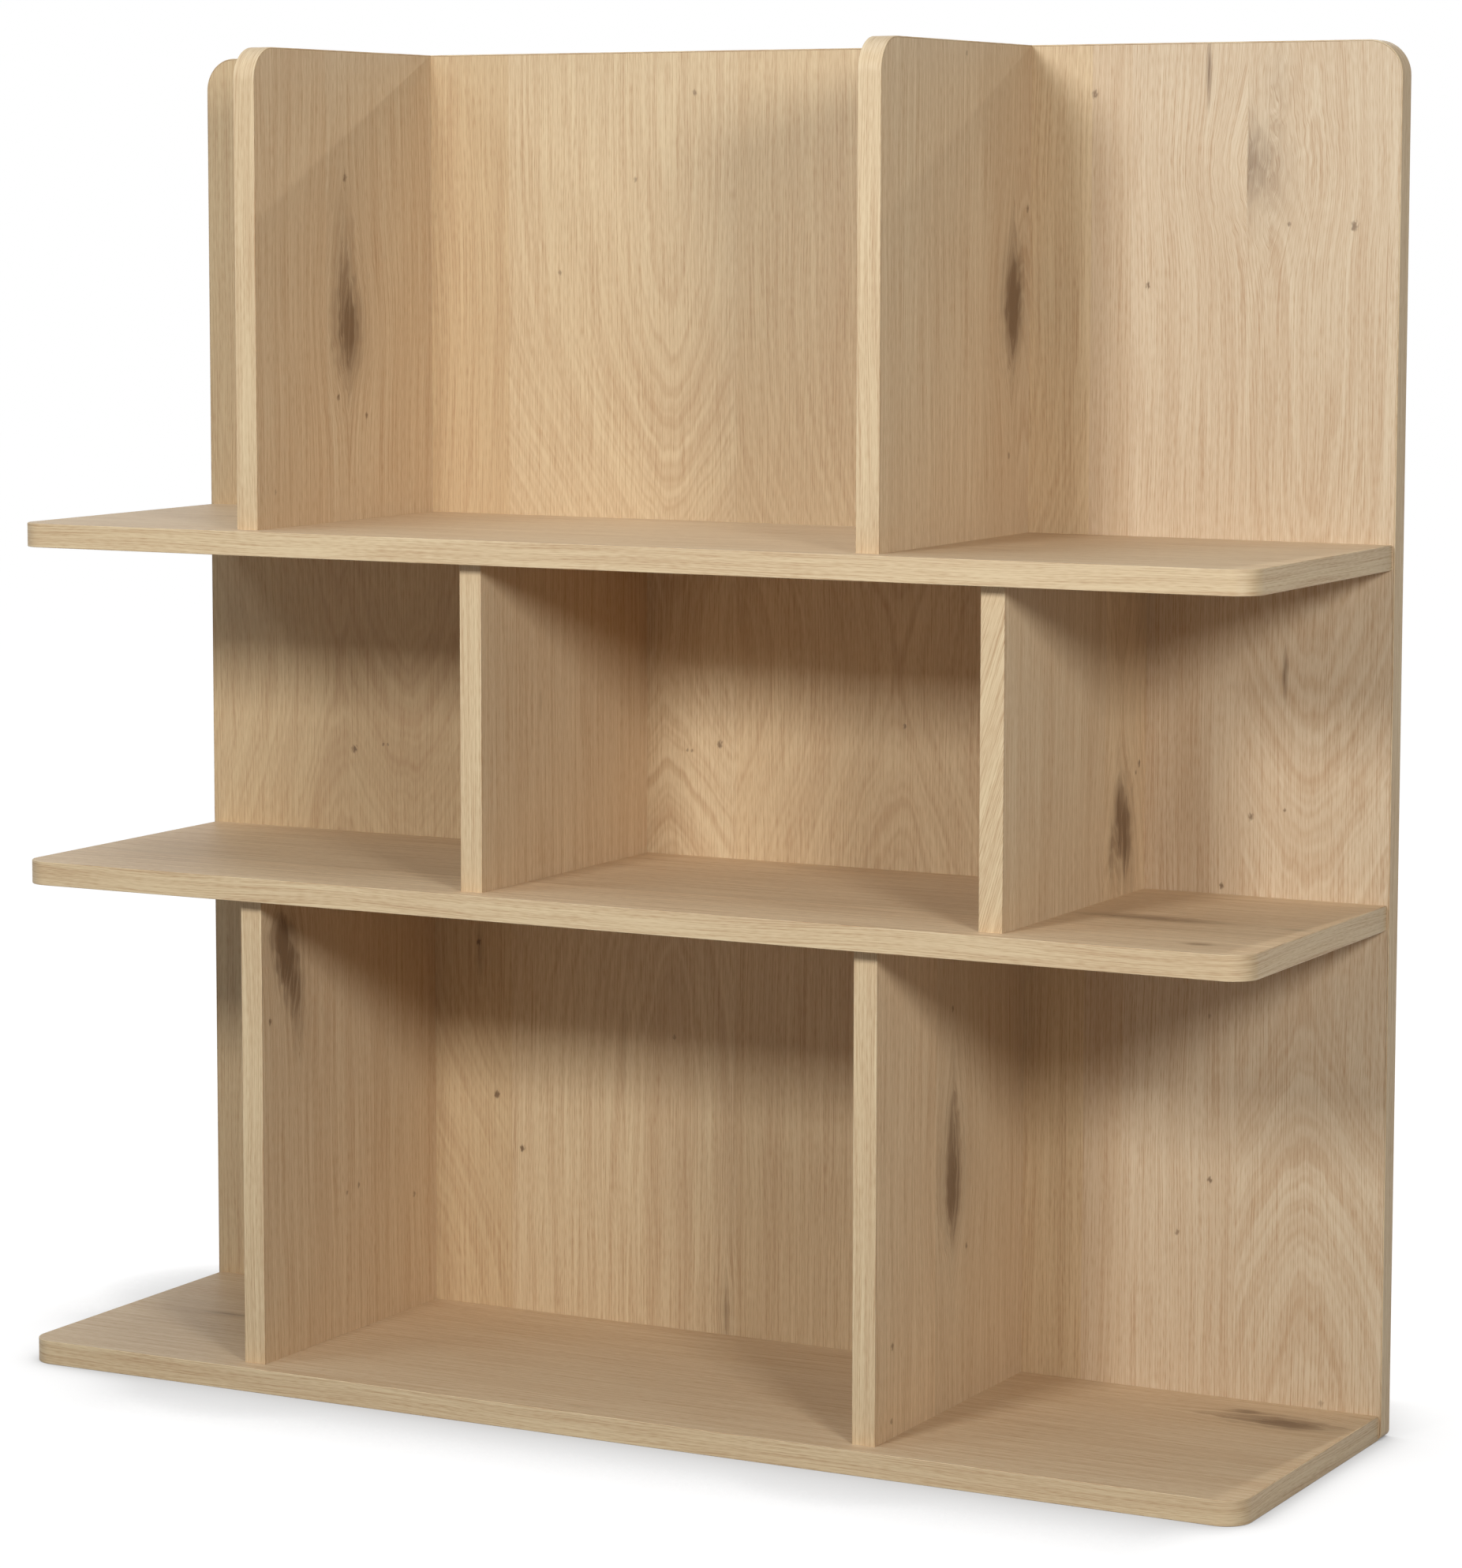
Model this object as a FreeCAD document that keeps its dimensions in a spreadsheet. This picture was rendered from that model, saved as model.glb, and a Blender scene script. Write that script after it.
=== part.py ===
import FreeCAD, Part
import math
import os

import Sketcher

# Free-standing bookcase of oak-veneered board: a back panel that stands on the floor, three shelves that
# butt against it, and six dividers, with the middle pair shifted to the right of the other two pairs.
# Every board has its own edging, one strip bent round the rounded corners with its arrises eased.
# The frame has +X to the right, +Y to the back and +Z up, with the origin under the middle of the base.

doc = FreeCAD.newDocument("bookcase")
sheet = doc.addObject("Spreadsheet::Sheet", "Sizes")

# Driving dimensions in millimetres
SIZES = (
    ("width", "1000", "overall width, across the back panel"),
    ("height", "1000", "overall height, from the floor to the top of the back panel"),
    ("board", "18", "thickness of every board"),
    ("shelf_depth", "266", "shelf, from its front edge to the face of the back panel"),
    ("shelf_end_inset", "2", "how far each shelf end stops inside the panel's side edge"),
    ("divider_setback", "16", "how far a divider's front edge lies behind the shelf's front edge"),
    ("bottom_bay_height", "353", "clear height between the bottom and middle shelves"),
    ("middle_bay_height", "239", "clear height between the middle and top shelves"),
    ("outer_left_bay", "190", "left bay of the top and bottom tiers, from the panel's side edge"),
    ("outer_centre_bay", "491", "clear width of the centre bay of the top and bottom tiers"),
    ("middle_left_bay", "381", "left bay of the middle tier, from the panel's side edge"),
    ("middle_centre_bay", "395", "clear width of the centre bay of the middle tier"),
    ("panel_corner", "25", "radius of the panel's upper corners"),
    ("panel_foot_corner", "5", "radius of the panel's lower corners"),
    ("shelf_corner", "20", "radius of a shelf's front corners"),
    ("divider_corner", "25", "radius of the top dividers' upper front corner"),
    ("edging", "1", "thickness of the edging"),
    ("arris", "0.6", "radius of the edging's eased arrises"),
    ("dowel_diameter", "8", "wooden dowel"),
    ("dowel_length", "30", "wooden dowel"),
    ("dowel_bevel", "1", "bevel on both ends of a dowel"),
    ("dowel_in_shelf", "11", "how deep a dowel sits in the face of a shelf"),
    ("dowel_front_margin", "40", "divider's front edge to the front dowel"),
    ("dowel_rear_margin", "60", "divider's rear edge to the rear dowel"),
    ("dowel_play", "0.05", "clearance all round a dowel in its hole"),
    ("dowel_end_play", "0.5", "clearance at each end of a dowel"),
    ("screw_length", "50", "connector screw, head to point"),
    ("screw_head", "10", "diameter of the countersunk head"),
    ("screw_neck", "7", "diameter of the smooth neck under the head"),
    ("screw_neck_length", "12", "length of the smooth neck"),
    ("screw_core", "5", "diameter of the part that holds in the board's edge"),
    ("screw_point", "3", "length of the pointed end"),
    ("screw_socket", "4", "width across the flats of the hexagon socket"),
    ("screw_socket_depth", "3", "depth of the hexagon socket"),
    ("screw_sink", "0.3", "how far a head lies below the face of the board"),
    ("screw_play", "0.05", "clearance all round a screw in its hole"),
    ("screw_end_play", "2", "pilot hole beyond the point of a screw"),
    ("shelf_screw_margin", "60", "panel's side edge to the first screw of a shelf"),
    ("divider_screw_margin", "60", "shelf's face to the first screw of a divider"),
    ("base_screw_offset", "40", "dowel to the base screw beside it"),
)
MEANING_COLUMN = "A"
VALUE_COLUMN = "B"
for row, (alias, value, meaning) in enumerate(SIZES, start=1):
    sheet.set(f"{MEANING_COLUMN}{row}", meaning)
    sheet.set(f"{VALUE_COLUMN}{row}", value)
    sheet.setAlias(f"{VALUE_COLUMN}{row}", alias)
doc.recompute()


class Length:
    """A length in millimetres, with the formula that ties it to the sheet."""

    def __init__(self, value, formula):
        self.value = value
        self.formula = formula

    def __add__(self, other):
        return Length(self.value + other.value, f"({self.formula} + {other.formula})")

    def __sub__(self, other):
        return Length(self.value - other.value, f"({self.formula} - {other.formula})")

    def __neg__(self):
        return Length(-self.value, f"(-1 * {self.formula})")

    def __mul__(self, factor):
        return Length(self.value * factor, f"({self.formula} * {factor})")

    def __truediv__(self, divisor):
        return Length(self.value / divisor, f"({self.formula} / {divisor})")


def size(alias):
    """The length that the sheet holds under this name."""
    return Length(float(sheet.get(alias)), f"{sheet.Name}.{alias}")


ZERO = Length(0.0, "0")
SHARP = None
NORMAL = FreeCAD.Vector(0, 0, 1)
SAME_PLACE = 1e-6

# Numbers by which the sketcher knows its own axes and origin, and the points of a line, arc or circle
LEVEL_AXIS = -1
UPRIGHT_AXIS = -2
ORIGIN = (-1, 1)
START = 1
END = 2
CENTRE = 3


def new_sketch(body, name, plane, offset=ZERO):
    """A sketch on one of the body's own origin planes, moved along the plane's normal by offset."""
    sketch = body.newObject("Sketcher::SketchObject", name)
    support = next(item for item in body.Origin.OriginFeatures if item.Role == plane)
    sketch.AttachmentSupport = [(support, "")]
    sketch.MapMode = "FlatFace"
    if offset is not ZERO:
        sketch.setExpression("AttachmentOffset.Base.z", offset.formula)
    return sketch


def constrain(sketch, length, kind, *items):
    """A dimension of the sketch, bound to a length."""
    index = sketch.addConstraint(Sketcher.Constraint(kind, *items, length.value))
    sketch.setExpression(f"Constraints[{index}]", length.formula)


def hold(sketch, item, point, x=None, y=None):
    """Hold a point of a line or circle at a place along one axis or both."""
    for length, kind, axis in ((x, "DistanceX", UPRIGHT_AXIS), (y, "DistanceY", LEVEL_AXIS)):
        if length is None:
            continue
        if length is ZERO:
            sketch.addConstraint(Sketcher.Constraint("PointOnObject", item, point, axis))
        else:
            constrain(sketch, length, kind, *ORIGIN, item, point)


def draw_outline(sketch, corners):
    """A closed anticlockwise loop of level and upright lines. Each corner is x, y and a radius or SHARP."""
    places = [FreeCAD.Vector(x.value, y.value, 0) for x, y, radius in corners]
    count = len(corners)
    ways = []
    for i in range(count):
        way = places[(i + 1) % count] - places[i]
        ways.append(way.normalize())

    def set_back(i):
        radius = corners[i][2]
        return 0.0 if radius is SHARP else radius.value

    lines = []
    for i in range(count):
        after = (i + 1) % count
        start = places[i] + ways[i] * set_back(i)
        end = places[after] - ways[i] * set_back(after)
        line = sketch.addGeometry(Part.LineSegment(start, end))
        lines.append(line)
        level = abs(ways[i].x) > abs(ways[i].y)
        sketch.addConstraint(Sketcher.Constraint("Horizontal" if level else "Vertical", line))
    for i, (x, y, radius) in enumerate(corners):
        before = lines[i - 1]
        if radius is SHARP:
            sketch.addConstraint(Sketcher.Constraint("Coincident", before, END, lines[i], START))
            continue
        centre = places[i] + (ways[i] - ways[i - 1]) * radius.value
        first = math.atan2(-ways[i].y, -ways[i].x)
        circle = Part.Circle(centre, NORMAL, radius.value)
        arc = sketch.addGeometry(Part.ArcOfCircle(circle, first, first + math.pi / 2))
        sketch.addConstraint(Sketcher.Constraint("Tangent", before, END, arc, START))
        sketch.addConstraint(Sketcher.Constraint("Tangent", arc, END, lines[i], START))
        constrain(sketch, radius, "Radius", arc)
    for i, (x, y, radius) in enumerate(corners):
        level = abs(ways[i].x) > abs(ways[i].y)
        if level:
            hold(sketch, lines[i], START, y=y)
        else:
            hold(sketch, lines[i], START, x=x)


def draw_circles(sketch, centres, diameter):
    """Equal circles at the given places."""
    for x, y in centres:
        place = FreeCAD.Vector(x.value, y.value, 0)
        circle = sketch.addGeometry(Part.Circle(place, NORMAL, diameter.value / 2))
        constrain(sketch, diameter, "Diameter", circle)
        hold(sketch, circle, CENTRE, x=x, y=y)


def require_cut(feature):
    """Stop if a cut took nothing off the body."""
    doc.recompute()
    before = feature.BaseFeature.Shape.Volume
    if not feature.Shape.Volume < before:
        raise RuntimeError(f"{feature.Label} cuts nothing")


def add_pad(body, name, plane, corners, thickness):
    """A plate of the given outline, thickened along the plane's normal."""
    sketch = new_sketch(body, f"{name}_outline", plane)
    draw_outline(sketch, corners)
    pad = body.newObject("PartDesign::Pad", f"{name}_plate")
    pad.Profile = sketch
    pad.setExpression("Length", thickness.formula)
    doc.recompute()
    return pad


def drill(body, name, plane, centres, diameter, depth, offset=ZERO, along_normal=True):
    """Blind round holes into the body, along the plane's normal or against it."""
    sketch = new_sketch(body, f"{name}_centres", plane, offset)
    draw_circles(sketch, centres, diameter)
    pocket = body.newObject("PartDesign::Pocket", name)
    pocket.Profile = sketch
    pocket.Reversed = along_normal
    pocket.setExpression("Length", depth.formula)
    require_cut(pocket)


def drill_countersunk(body, name, plane, centres):
    """Clearance holes for connector screws, right through the board along the plane's normal."""
    sketch = new_sketch(body, f"{name}_centres", plane)
    clear_neck = screw_neck + screw_play * 2
    draw_circles(sketch, centres, clear_neck)
    doc.recompute()
    hole = body.newObject("PartDesign::Hole", name)
    hole.Profile = sketch
    hole.Reversed = True
    hole.Threaded = False
    hole.DepthType = "ThroughAll"
    hole.HoleCutType = "Countersink"
    hole.HoleCutCustomValues = True
    hole.HoleCutCountersinkAngle = COUNTERSINK_ANGLE
    hole.setExpression("Diameter", clear_neck.formula)
    hole.setExpression("HoleCutDiameter", (screw_head + screw_sink * 2 + screw_play * 2).formula)
    require_cut(hole)


def place(item, x=ZERO, y=ZERO, z=ZERO):
    """Bind an object's place in the bookcase to the sheet."""
    for axis, length in (("x", x), ("y", y), ("z", z)):
        if length is not ZERO:
            item.setExpression(f"Placement.Base.{axis}", length.formula)


NODES = []


def new_body(label):
    """A body that is one sub-part of the bookcase."""
    body = doc.addObject("PartDesign::Body", label)
    body.Label = label
    NODES.append(body)
    return body


def lies_at(first, second):
    """Whether two coordinates are the same place."""
    return abs(first - second) < SAME_PLACE


def add_edging(label, plane, outer, core, thickness, is_bare):
    """The edging of one board: the finished outline with eased arrises, hollowed to the board's own outline.
    is_bare says, from the middle of an edge, whether that edge of the outline carries no edging."""
    body = new_body(label)
    pad = add_pad(body, label, plane, outer, thickness)
    normal = pad.Profile[0].Placement.Rotation.multVec(NORMAL)
    eased = []
    for number, edge in enumerate(pad.Shape.Edges, start=1):
        middle = edge.valueAt((edge.FirstParameter + edge.LastParameter) / 2)
        along = abs(middle.dot(normal))
        on_a_face = lies_at(along, 0.0) or lies_at(along, thickness.value)
        if on_a_face and not is_bare(middle):
            eased.append(f"Edge{number}")
    fillet = body.newObject("PartDesign::Fillet", f"{label}_eased_arrises")
    fillet.Base = (pad, eased)
    fillet.setExpression("Radius", arris.formula)
    doc.recompute()
    sketch = new_sketch(body, f"{label}_seat_outline", plane)
    draw_outline(sketch, core)
    pocket = body.newObject("PartDesign::Pocket", f"{label}_seat")
    pocket.Profile = sketch
    pocket.Reversed = True
    pocket.Type = "ThroughAll"
    require_cut(pocket)
    return body


# Sizes read from the sheet
width = size("width")
height = size("height")
board = size("board")
shelf_depth = size("shelf_depth")
shelf_end_inset = size("shelf_end_inset")
divider_setback = size("divider_setback")
edging = size("edging")
arris = size("arris")
dowel_diameter = size("dowel_diameter")
dowel_length = size("dowel_length")
dowel_in_shelf = size("dowel_in_shelf")
dowel_play = size("dowel_play")
dowel_end_play = size("dowel_end_play")
screw_length = size("screw_length")
screw_head = size("screw_head")
screw_neck = size("screw_neck")
screw_core = size("screw_core")
screw_sink = size("screw_sink")
screw_play = size("screw_play")
COUNTERSINK_ANGLE = 90

# Places worked out from the sizes
total_depth = shelf_depth + board
shelf_front = -total_depth / 2
panel_back = total_depth / 2
divider_front = shelf_front + divider_setback
divider_depth = shelf_depth - divider_setback
half_shelf = width / 2 - shelf_end_inset
middle_level = board + size("bottom_bay_height")
top_level = middle_level + board + size("middle_bay_height")
shelf_levels = {"bottom": ZERO, "middle": middle_level, "top": top_level}
outer_left = size("outer_left_bay") - width / 2
outer_right = outer_left + board + size("outer_centre_bay")
inner_left = size("middle_left_bay") - width / 2
inner_right = inner_left + board + size("middle_centre_bay")
tiers = {
    "bottom": (board, middle_level, (outer_left, outer_right)),
    "middle": (middle_level + board, top_level, (inner_left, inner_right)),
    "top": (top_level + board, height, (outer_left, outer_right)),
}

# Places of the fasteners, measured from a divider's front edge and from its left face
front_dowel = size("dowel_front_margin")
rear_dowel = divider_depth - size("dowel_rear_margin")
dowel_places = (front_dowel, rear_dowel)
base_screw_places = (front_dowel + size("base_screw_offset"), rear_dowel - size("base_screw_offset"))
divider_middle = board / 2
dowel_hole = dowel_diameter + dowel_play * 2
dowel_hole_in_shelf = dowel_in_shelf + dowel_end_play
dowel_hole_in_divider = dowel_length - dowel_in_shelf + dowel_end_play
pilot_hole = screw_core + screw_play * 2
pilot_depth = screw_length + screw_sink - board + size("screw_end_play")
SHELF_SCREW_SHARES = (-1, -1 / 3, 1 / 3, 1)
shelf_screw_reach = width / 2 - size("shelf_screw_margin")
shelf_screw_places = [shelf_screw_reach * share for share in SHELF_SCREW_SHARES]


def divider_screw_heights(floor, ceiling):
    """Heights of a divider's two screws above the floor of the bookcase."""
    margin = size("divider_screw_margin")
    return floor + margin, ceiling - margin


# Back panel: a board that stands on the floor, with a countersunk hole for every screw that it takes
def panel_outline(inset):
    side = width / 2 - inset
    foot_corner = size("panel_foot_corner") - inset
    top_corner = size("panel_corner") - inset
    return (
        (-side, inset, foot_corner),
        (side, inset, foot_corner),
        (side, height - inset, top_corner),
        (-side, height - inset, top_corner),
    )


back_panel = new_body("back_panel")
add_pad(back_panel, "back_panel", "XZ_Plane", panel_outline(edging), board)
shelf_screw_centres = []
for level in shelf_levels.values():
    for x in shelf_screw_places:
        shelf_screw_centres.append((x, level + board / 2))
divider_screw_centres = []
for floor, ceiling, left_faces in tiers.values():
    for left_face in left_faces:
        for z in divider_screw_heights(floor, ceiling):
            divider_screw_centres.append((left_face + divider_middle, z))
drill_countersunk(back_panel, "panel_screw_holes", "XZ_Plane", shelf_screw_centres + divider_screw_centres)
place(back_panel, y=panel_back)
back_panel_edging = add_edging(
    "back_panel_edging", "XZ_Plane", panel_outline(ZERO), panel_outline(edging), board, lambda middle: False
)
place(back_panel_edging, y=panel_back)


# Shelves: dowel holes for the dividers above and below, pilot holes for the panel's screws in the rear edge
def shelf_outline(inset):
    side = half_shelf - inset
    corner = size("shelf_corner") - inset
    return (
        (-side, inset, corner),
        (side, inset, corner),
        (side, shelf_depth, SHARP),
        (-side, shelf_depth, SHARP),
    )


def divider_spots(left_faces, places):
    """Centres on a shelf, under or over its dividers."""
    return [(left + divider_middle, divider_setback + y) for left in left_faces for y in places]


tier_below = {"middle": "bottom", "top": "middle"}
for name, level in shelf_levels.items():
    label = f"{name}_shelf"
    shelf = new_body(label)
    add_pad(shelf, label, "XY_Plane", shelf_outline(edging), board)
    above = tiers[name][2]
    spots = divider_spots(above, dowel_places)
    drill(shelf, f"{label}_upper_dowel_holes", "XY_Plane", spots, dowel_hole, dowel_hole_in_shelf,
          offset=board, along_normal=False)
    if name in tier_below:
        below = tiers[tier_below[name]][2]
        spots = divider_spots(below, dowel_places)
        drill(shelf, f"{label}_lower_dowel_holes", "XY_Plane", spots, dowel_hole, dowel_hole_in_shelf)
    else:
        drill_countersunk(shelf, f"{label}_screw_holes", "XY_Plane", divider_spots(above, base_screw_places))
    rear_spots = [(x, board / 2) for x in shelf_screw_places]
    drill(shelf, f"{label}_pilot_holes", "XZ_Plane", rear_spots, pilot_hole, pilot_depth, offset=-shelf_depth)
    place(shelf, y=shelf_front, z=level)
    shelf_edging = add_edging(
        f"{label}_edging", "XY_Plane", shelf_outline(ZERO), shelf_outline(edging), board,
        lambda middle: lies_at(middle.y, shelf_depth.value),
    )
    place(shelf_edging, y=shelf_front, z=level)


# Dividers: edging on the front, and on the top ones also round the corner and along the upper edge
def divider_outline(tall, open_top, inset):
    top = tall - inset if open_top else tall
    corner = size("divider_corner") - inset if open_top else SHARP
    return (
        (inset, ZERO, SHARP),
        (divider_depth, ZERO, SHARP),
        (divider_depth, top, SHARP),
        (inset, top, corner),
    )


def is_divider_bare(tall, open_top):
    """Which edges of a divider carry no edging: the rear, the foot and, under a shelf, the upper edge."""
    def is_bare(middle):
        if lies_at(middle.y, divider_depth.value) or lies_at(middle.z, 0.0):
            return True
        return not open_top and lies_at(middle.z, tall.value)
    return is_bare


for tier, (floor, ceiling, left_faces) in tiers.items():
    open_top = tier == "top"
    tall = ceiling - floor
    for side, left_face in zip(("left", "right"), left_faces):
        label = f"{tier}_divider_{side}"
        divider = new_body(label)
        add_pad(divider, label, "YZ_Plane", divider_outline(tall, open_top, edging), board)
        dowel_spots = [(divider_middle, y) for y in dowel_places]
        drill(divider, f"{label}_foot_holes", "XY_Plane", dowel_spots, dowel_hole, dowel_hole_in_divider)
        if not open_top:
            drill(divider, f"{label}_head_holes", "XY_Plane", dowel_spots, dowel_hole, dowel_hole_in_divider,
                  offset=tall, along_normal=False)
        if tier == "bottom":
            screw_spots = [(divider_middle, y) for y in base_screw_places]
            drill(divider, f"{label}_base_pilot_holes", "XY_Plane", screw_spots, pilot_hole, pilot_depth)
        rear_spots = [(divider_middle, z - floor) for z in divider_screw_heights(floor, ceiling)]
        drill(divider, f"{label}_pilot_holes", "XZ_Plane", rear_spots, pilot_hole, pilot_depth,
              offset=-divider_depth)
        place(divider, x=left_face, y=divider_front, z=floor)
        divider_edging = add_edging(
            f"{label}_edging", "YZ_Plane", divider_outline(tall, open_top, ZERO),
            divider_outline(tall, open_top, edging), board, is_divider_bare(tall, open_top),
        )
        place(divider_edging, x=left_face, y=divider_front, z=floor)

# One wooden dowel, upright on its end, that the groups of dowels repeat
dowel = doc.addObject("PartDesign::Body", "dowel")
dowel_sketch = new_sketch(dowel, "dowel_section", "XY_Plane")
draw_circles(dowel_sketch, [(ZERO, ZERO)], dowel_diameter)
dowel_pad = dowel.newObject("PartDesign::Pad", "dowel_rod")
dowel_pad.Profile = dowel_sketch
dowel_pad.setExpression("Length", dowel_length.formula)
doc.recompute()
dowel_ends = dowel.newObject("PartDesign::Chamfer", "dowel_bevels")
rims = [f"Edge{n}" for n, edge in enumerate(dowel_pad.Shape.Edges, start=1) if edge.Closed]
dowel_ends.Base = (dowel_pad, rims)
dowel_ends.setExpression("Size", size("dowel_bevel").formula)


# One connector screw, its head at the origin and its point up: countersunk head, smooth neck, core and point
def draw_profile(sketch, corners):
    """A closed loop of straight lines through the given corners."""
    places = [FreeCAD.Vector(x.value, y.value, 0) for x, y in corners]
    count = len(places)
    lines = []
    for i in range(count):
        lines.append(sketch.addGeometry(Part.LineSegment(places[i], places[(i + 1) % count])))
    for i, (x, y) in enumerate(corners):
        sketch.addConstraint(Sketcher.Constraint("Coincident", lines[i - 1], END, lines[i], START))
        hold(sketch, lines[i], START, x=x, y=y)


screw = doc.addObject("PartDesign::Body", "screw")
screw_sketch = new_sketch(screw, "screw_profile", "XZ_Plane")
cone_height = (screw_head - screw_neck) / 2
neck_end = cone_height + size("screw_neck_length")
draw_profile(screw_sketch, (
    (ZERO, ZERO),
    (screw_head / 2, ZERO),
    (screw_neck / 2, cone_height),
    (screw_neck / 2, neck_end),
    (screw_core / 2, neck_end),
    (screw_core / 2, screw_length - size("screw_point")),
    (ZERO, screw_length),
))
screw_turned = screw.newObject("PartDesign::Revolution", "screw_turned")
screw_turned.Profile = screw_sketch
screw_turned.ReferenceAxis = (screw_sketch, ["V_Axis"])
screw_turned.Angle = 360
doc.recompute()
HEXAGON_SIDES = 6
socket_sketch = new_sketch(screw, "socket_section", "XY_Plane")
socket_radius = size("screw_socket") / math.sqrt(3)
flats = []
for i in range(HEXAGON_SIDES):
    ends = [2 * math.pi * n / HEXAGON_SIDES for n in (i, i + 1)]
    points = [FreeCAD.Vector(math.cos(a), math.sin(a), 0) * socket_radius.value for a in ends]
    flats.append(socket_sketch.addGeometry(Part.LineSegment(*points)))
ring = socket_sketch.addGeometry(Part.Circle(FreeCAD.Vector(), NORMAL, socket_radius.value), True)
socket_sketch.addConstraint(Sketcher.Constraint("Coincident", ring, CENTRE, *ORIGIN))
constrain(socket_sketch, socket_radius, "Radius", ring)
for i, flat in enumerate(flats):
    socket_sketch.addConstraint(Sketcher.Constraint("Coincident", flats[i - 1], END, flat, START))
    socket_sketch.addConstraint(Sketcher.Constraint("PointOnObject", flat, START, ring))
    if i > 0:
        socket_sketch.addConstraint(Sketcher.Constraint("Equal", flats[0], flat))
socket_sketch.addConstraint(Sketcher.Constraint("PointOnObject", flats[0], START, LEVEL_AXIS))
socket = screw.newObject("PartDesign::Pocket", "screw_socket_cut")
socket.Profile = socket_sketch
socket.Reversed = True
socket.setExpression("Length", size("screw_socket_depth").formula)
require_cut(socket)


def repeat(label, master, places, turn=FreeCAD.Rotation()):
    """One node of identical fasteners, each a copy of the master at its own place."""
    copies = []
    for number, (x, y, z) in enumerate(places, start=1):
        copy = doc.addObject("App::Link", f"{label}_{number}")
        copy.LinkedObject = master
        copy.Placement = FreeCAD.Placement(FreeCAD.Vector(), turn)
        place(copy, x, y, z)
        copies.append(copy)
    group = doc.addObject("Part::Compound", label)
    group.Label = label
    group.Links = copies
    NODES.append(group)


# Dowels: two in the foot of every divider, and two in its head where a shelf lies on it
for tier, (floor, ceiling, left_faces) in tiers.items():
    starts = [floor - dowel_in_shelf]
    if tier != "top":
        starts.append(ceiling + dowel_in_shelf - dowel_length)
    spots = []
    for left_face in left_faces:
        for y in dowel_places:
            for z in starts:
                spots.append((left_face + divider_middle, divider_front + y, z))
    repeat(f"{tier}_dowels", dowel, spots)

# Screws: from behind through the panel into shelves and dividers, and from below into the bottom dividers
INTO_THE_PANEL = FreeCAD.Rotation(FreeCAD.Vector(1, 0, 0), 90)
head_behind = panel_back - screw_sink
repeat("shelf_screws", screw, [(x, head_behind, z) for x, z in shelf_screw_centres], INTO_THE_PANEL)
repeat("divider_screws", screw, [(x, head_behind, z) for x, z in divider_screw_centres], INTO_THE_PANEL)
base_spots = []
for left_face in tiers["bottom"][2]:
    for y in base_screw_places:
        base_spots.append((left_face + divider_middle, divider_front + y, screw_sink))
repeat("base_screws", screw, base_spots)

doc.recompute()

# Every object and every sub-part is sound before anything is written
for item in doc.Objects:
    if "Invalid" in item.State or "Error" in item.State:
        raise RuntimeError(f"{item.Label} is {item.State}")
for node in NODES:
    if node.Shape.isNull() or not node.Shape.isValid():
        raise RuntimeError(f"{node.Label} has no sound shape")

os.makedirs("parts", exist_ok=True)
for node in NODES:
    node.Shape.exportStep(f"parts/{node.Label}.step")
    box = node.Shape.optimalBoundingBox(False)
    print(
        f"{node.Label}: {len(node.Shape.Solids)} solids, {node.Shape.Volume:.0f} mm3, "
        f"x {box.XMin:.1f} {box.XMax:.1f}, y {box.YMin:.1f} {box.YMax:.1f}, z {box.ZMin:.1f} {box.ZMax:.1f}"
    )
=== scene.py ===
import math
from collections import namedtuple

import bmesh
import bpy
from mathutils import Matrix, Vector


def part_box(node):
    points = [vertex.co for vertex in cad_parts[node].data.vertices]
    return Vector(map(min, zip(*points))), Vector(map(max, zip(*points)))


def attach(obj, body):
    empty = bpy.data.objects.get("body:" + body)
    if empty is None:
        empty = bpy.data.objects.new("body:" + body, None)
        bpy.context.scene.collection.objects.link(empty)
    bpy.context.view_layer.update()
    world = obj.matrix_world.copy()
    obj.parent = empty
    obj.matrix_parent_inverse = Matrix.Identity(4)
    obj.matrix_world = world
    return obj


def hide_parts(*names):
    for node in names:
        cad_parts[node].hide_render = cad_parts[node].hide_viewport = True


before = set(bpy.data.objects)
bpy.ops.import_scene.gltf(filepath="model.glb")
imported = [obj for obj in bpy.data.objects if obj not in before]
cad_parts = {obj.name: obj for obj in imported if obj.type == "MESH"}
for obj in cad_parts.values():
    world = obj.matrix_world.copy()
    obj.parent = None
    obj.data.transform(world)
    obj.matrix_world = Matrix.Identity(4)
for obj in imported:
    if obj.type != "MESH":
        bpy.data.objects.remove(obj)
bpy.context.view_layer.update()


# Back panel: one 18 mm board, veneered in oak on both faces with the grain upright, in leaves of uneven
# width. It stands on the floor behind everything. Its four corners are rounded, and the screws that hold
# the shelves and dividers come through it from behind, in countersunk holes.
MM = 0.001
PANEL_TOP_RADIUS = 25 * MM
PANEL_FOOT_RADIUS = 5 * MM
ARC_STEPS = 16

# Leaves of veneer and the marks on them, placed along and across the grain in millimetres
Leaf = namedtuple("Leaf", "edge colour")
Knot = namedtuple("Knot", "along across length width dark starts", defaults=(-1000,))
Pin = namedtuple("Pin", "along across size dark")
Figure = namedtuple("Figure", "along across length round rise starts ends")


def rounded_outline(corners):
    """Points along an outline. Each corner is u, v and its radius, 0 for a sharp one."""
    points = []
    for number, (u, v, radius) in enumerate(corners):
        corner = Vector((u, v))
        if radius == 0:
            points.append(corner)
            continue
        back = (Vector(corners[number - 1][:2]) - corner).normalized()
        ahead = (Vector(corners[(number + 1) % len(corners)][:2]) - corner).normalized()
        centre = corner + (back + ahead) * radius
        for step in range(ARC_STEPS + 1):
            turn = math.radians(90) * step / ARC_STEPS
            points.append(centre - ahead * (radius * math.cos(turn)) - back * (radius * math.sin(turn)))
    return points


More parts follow.
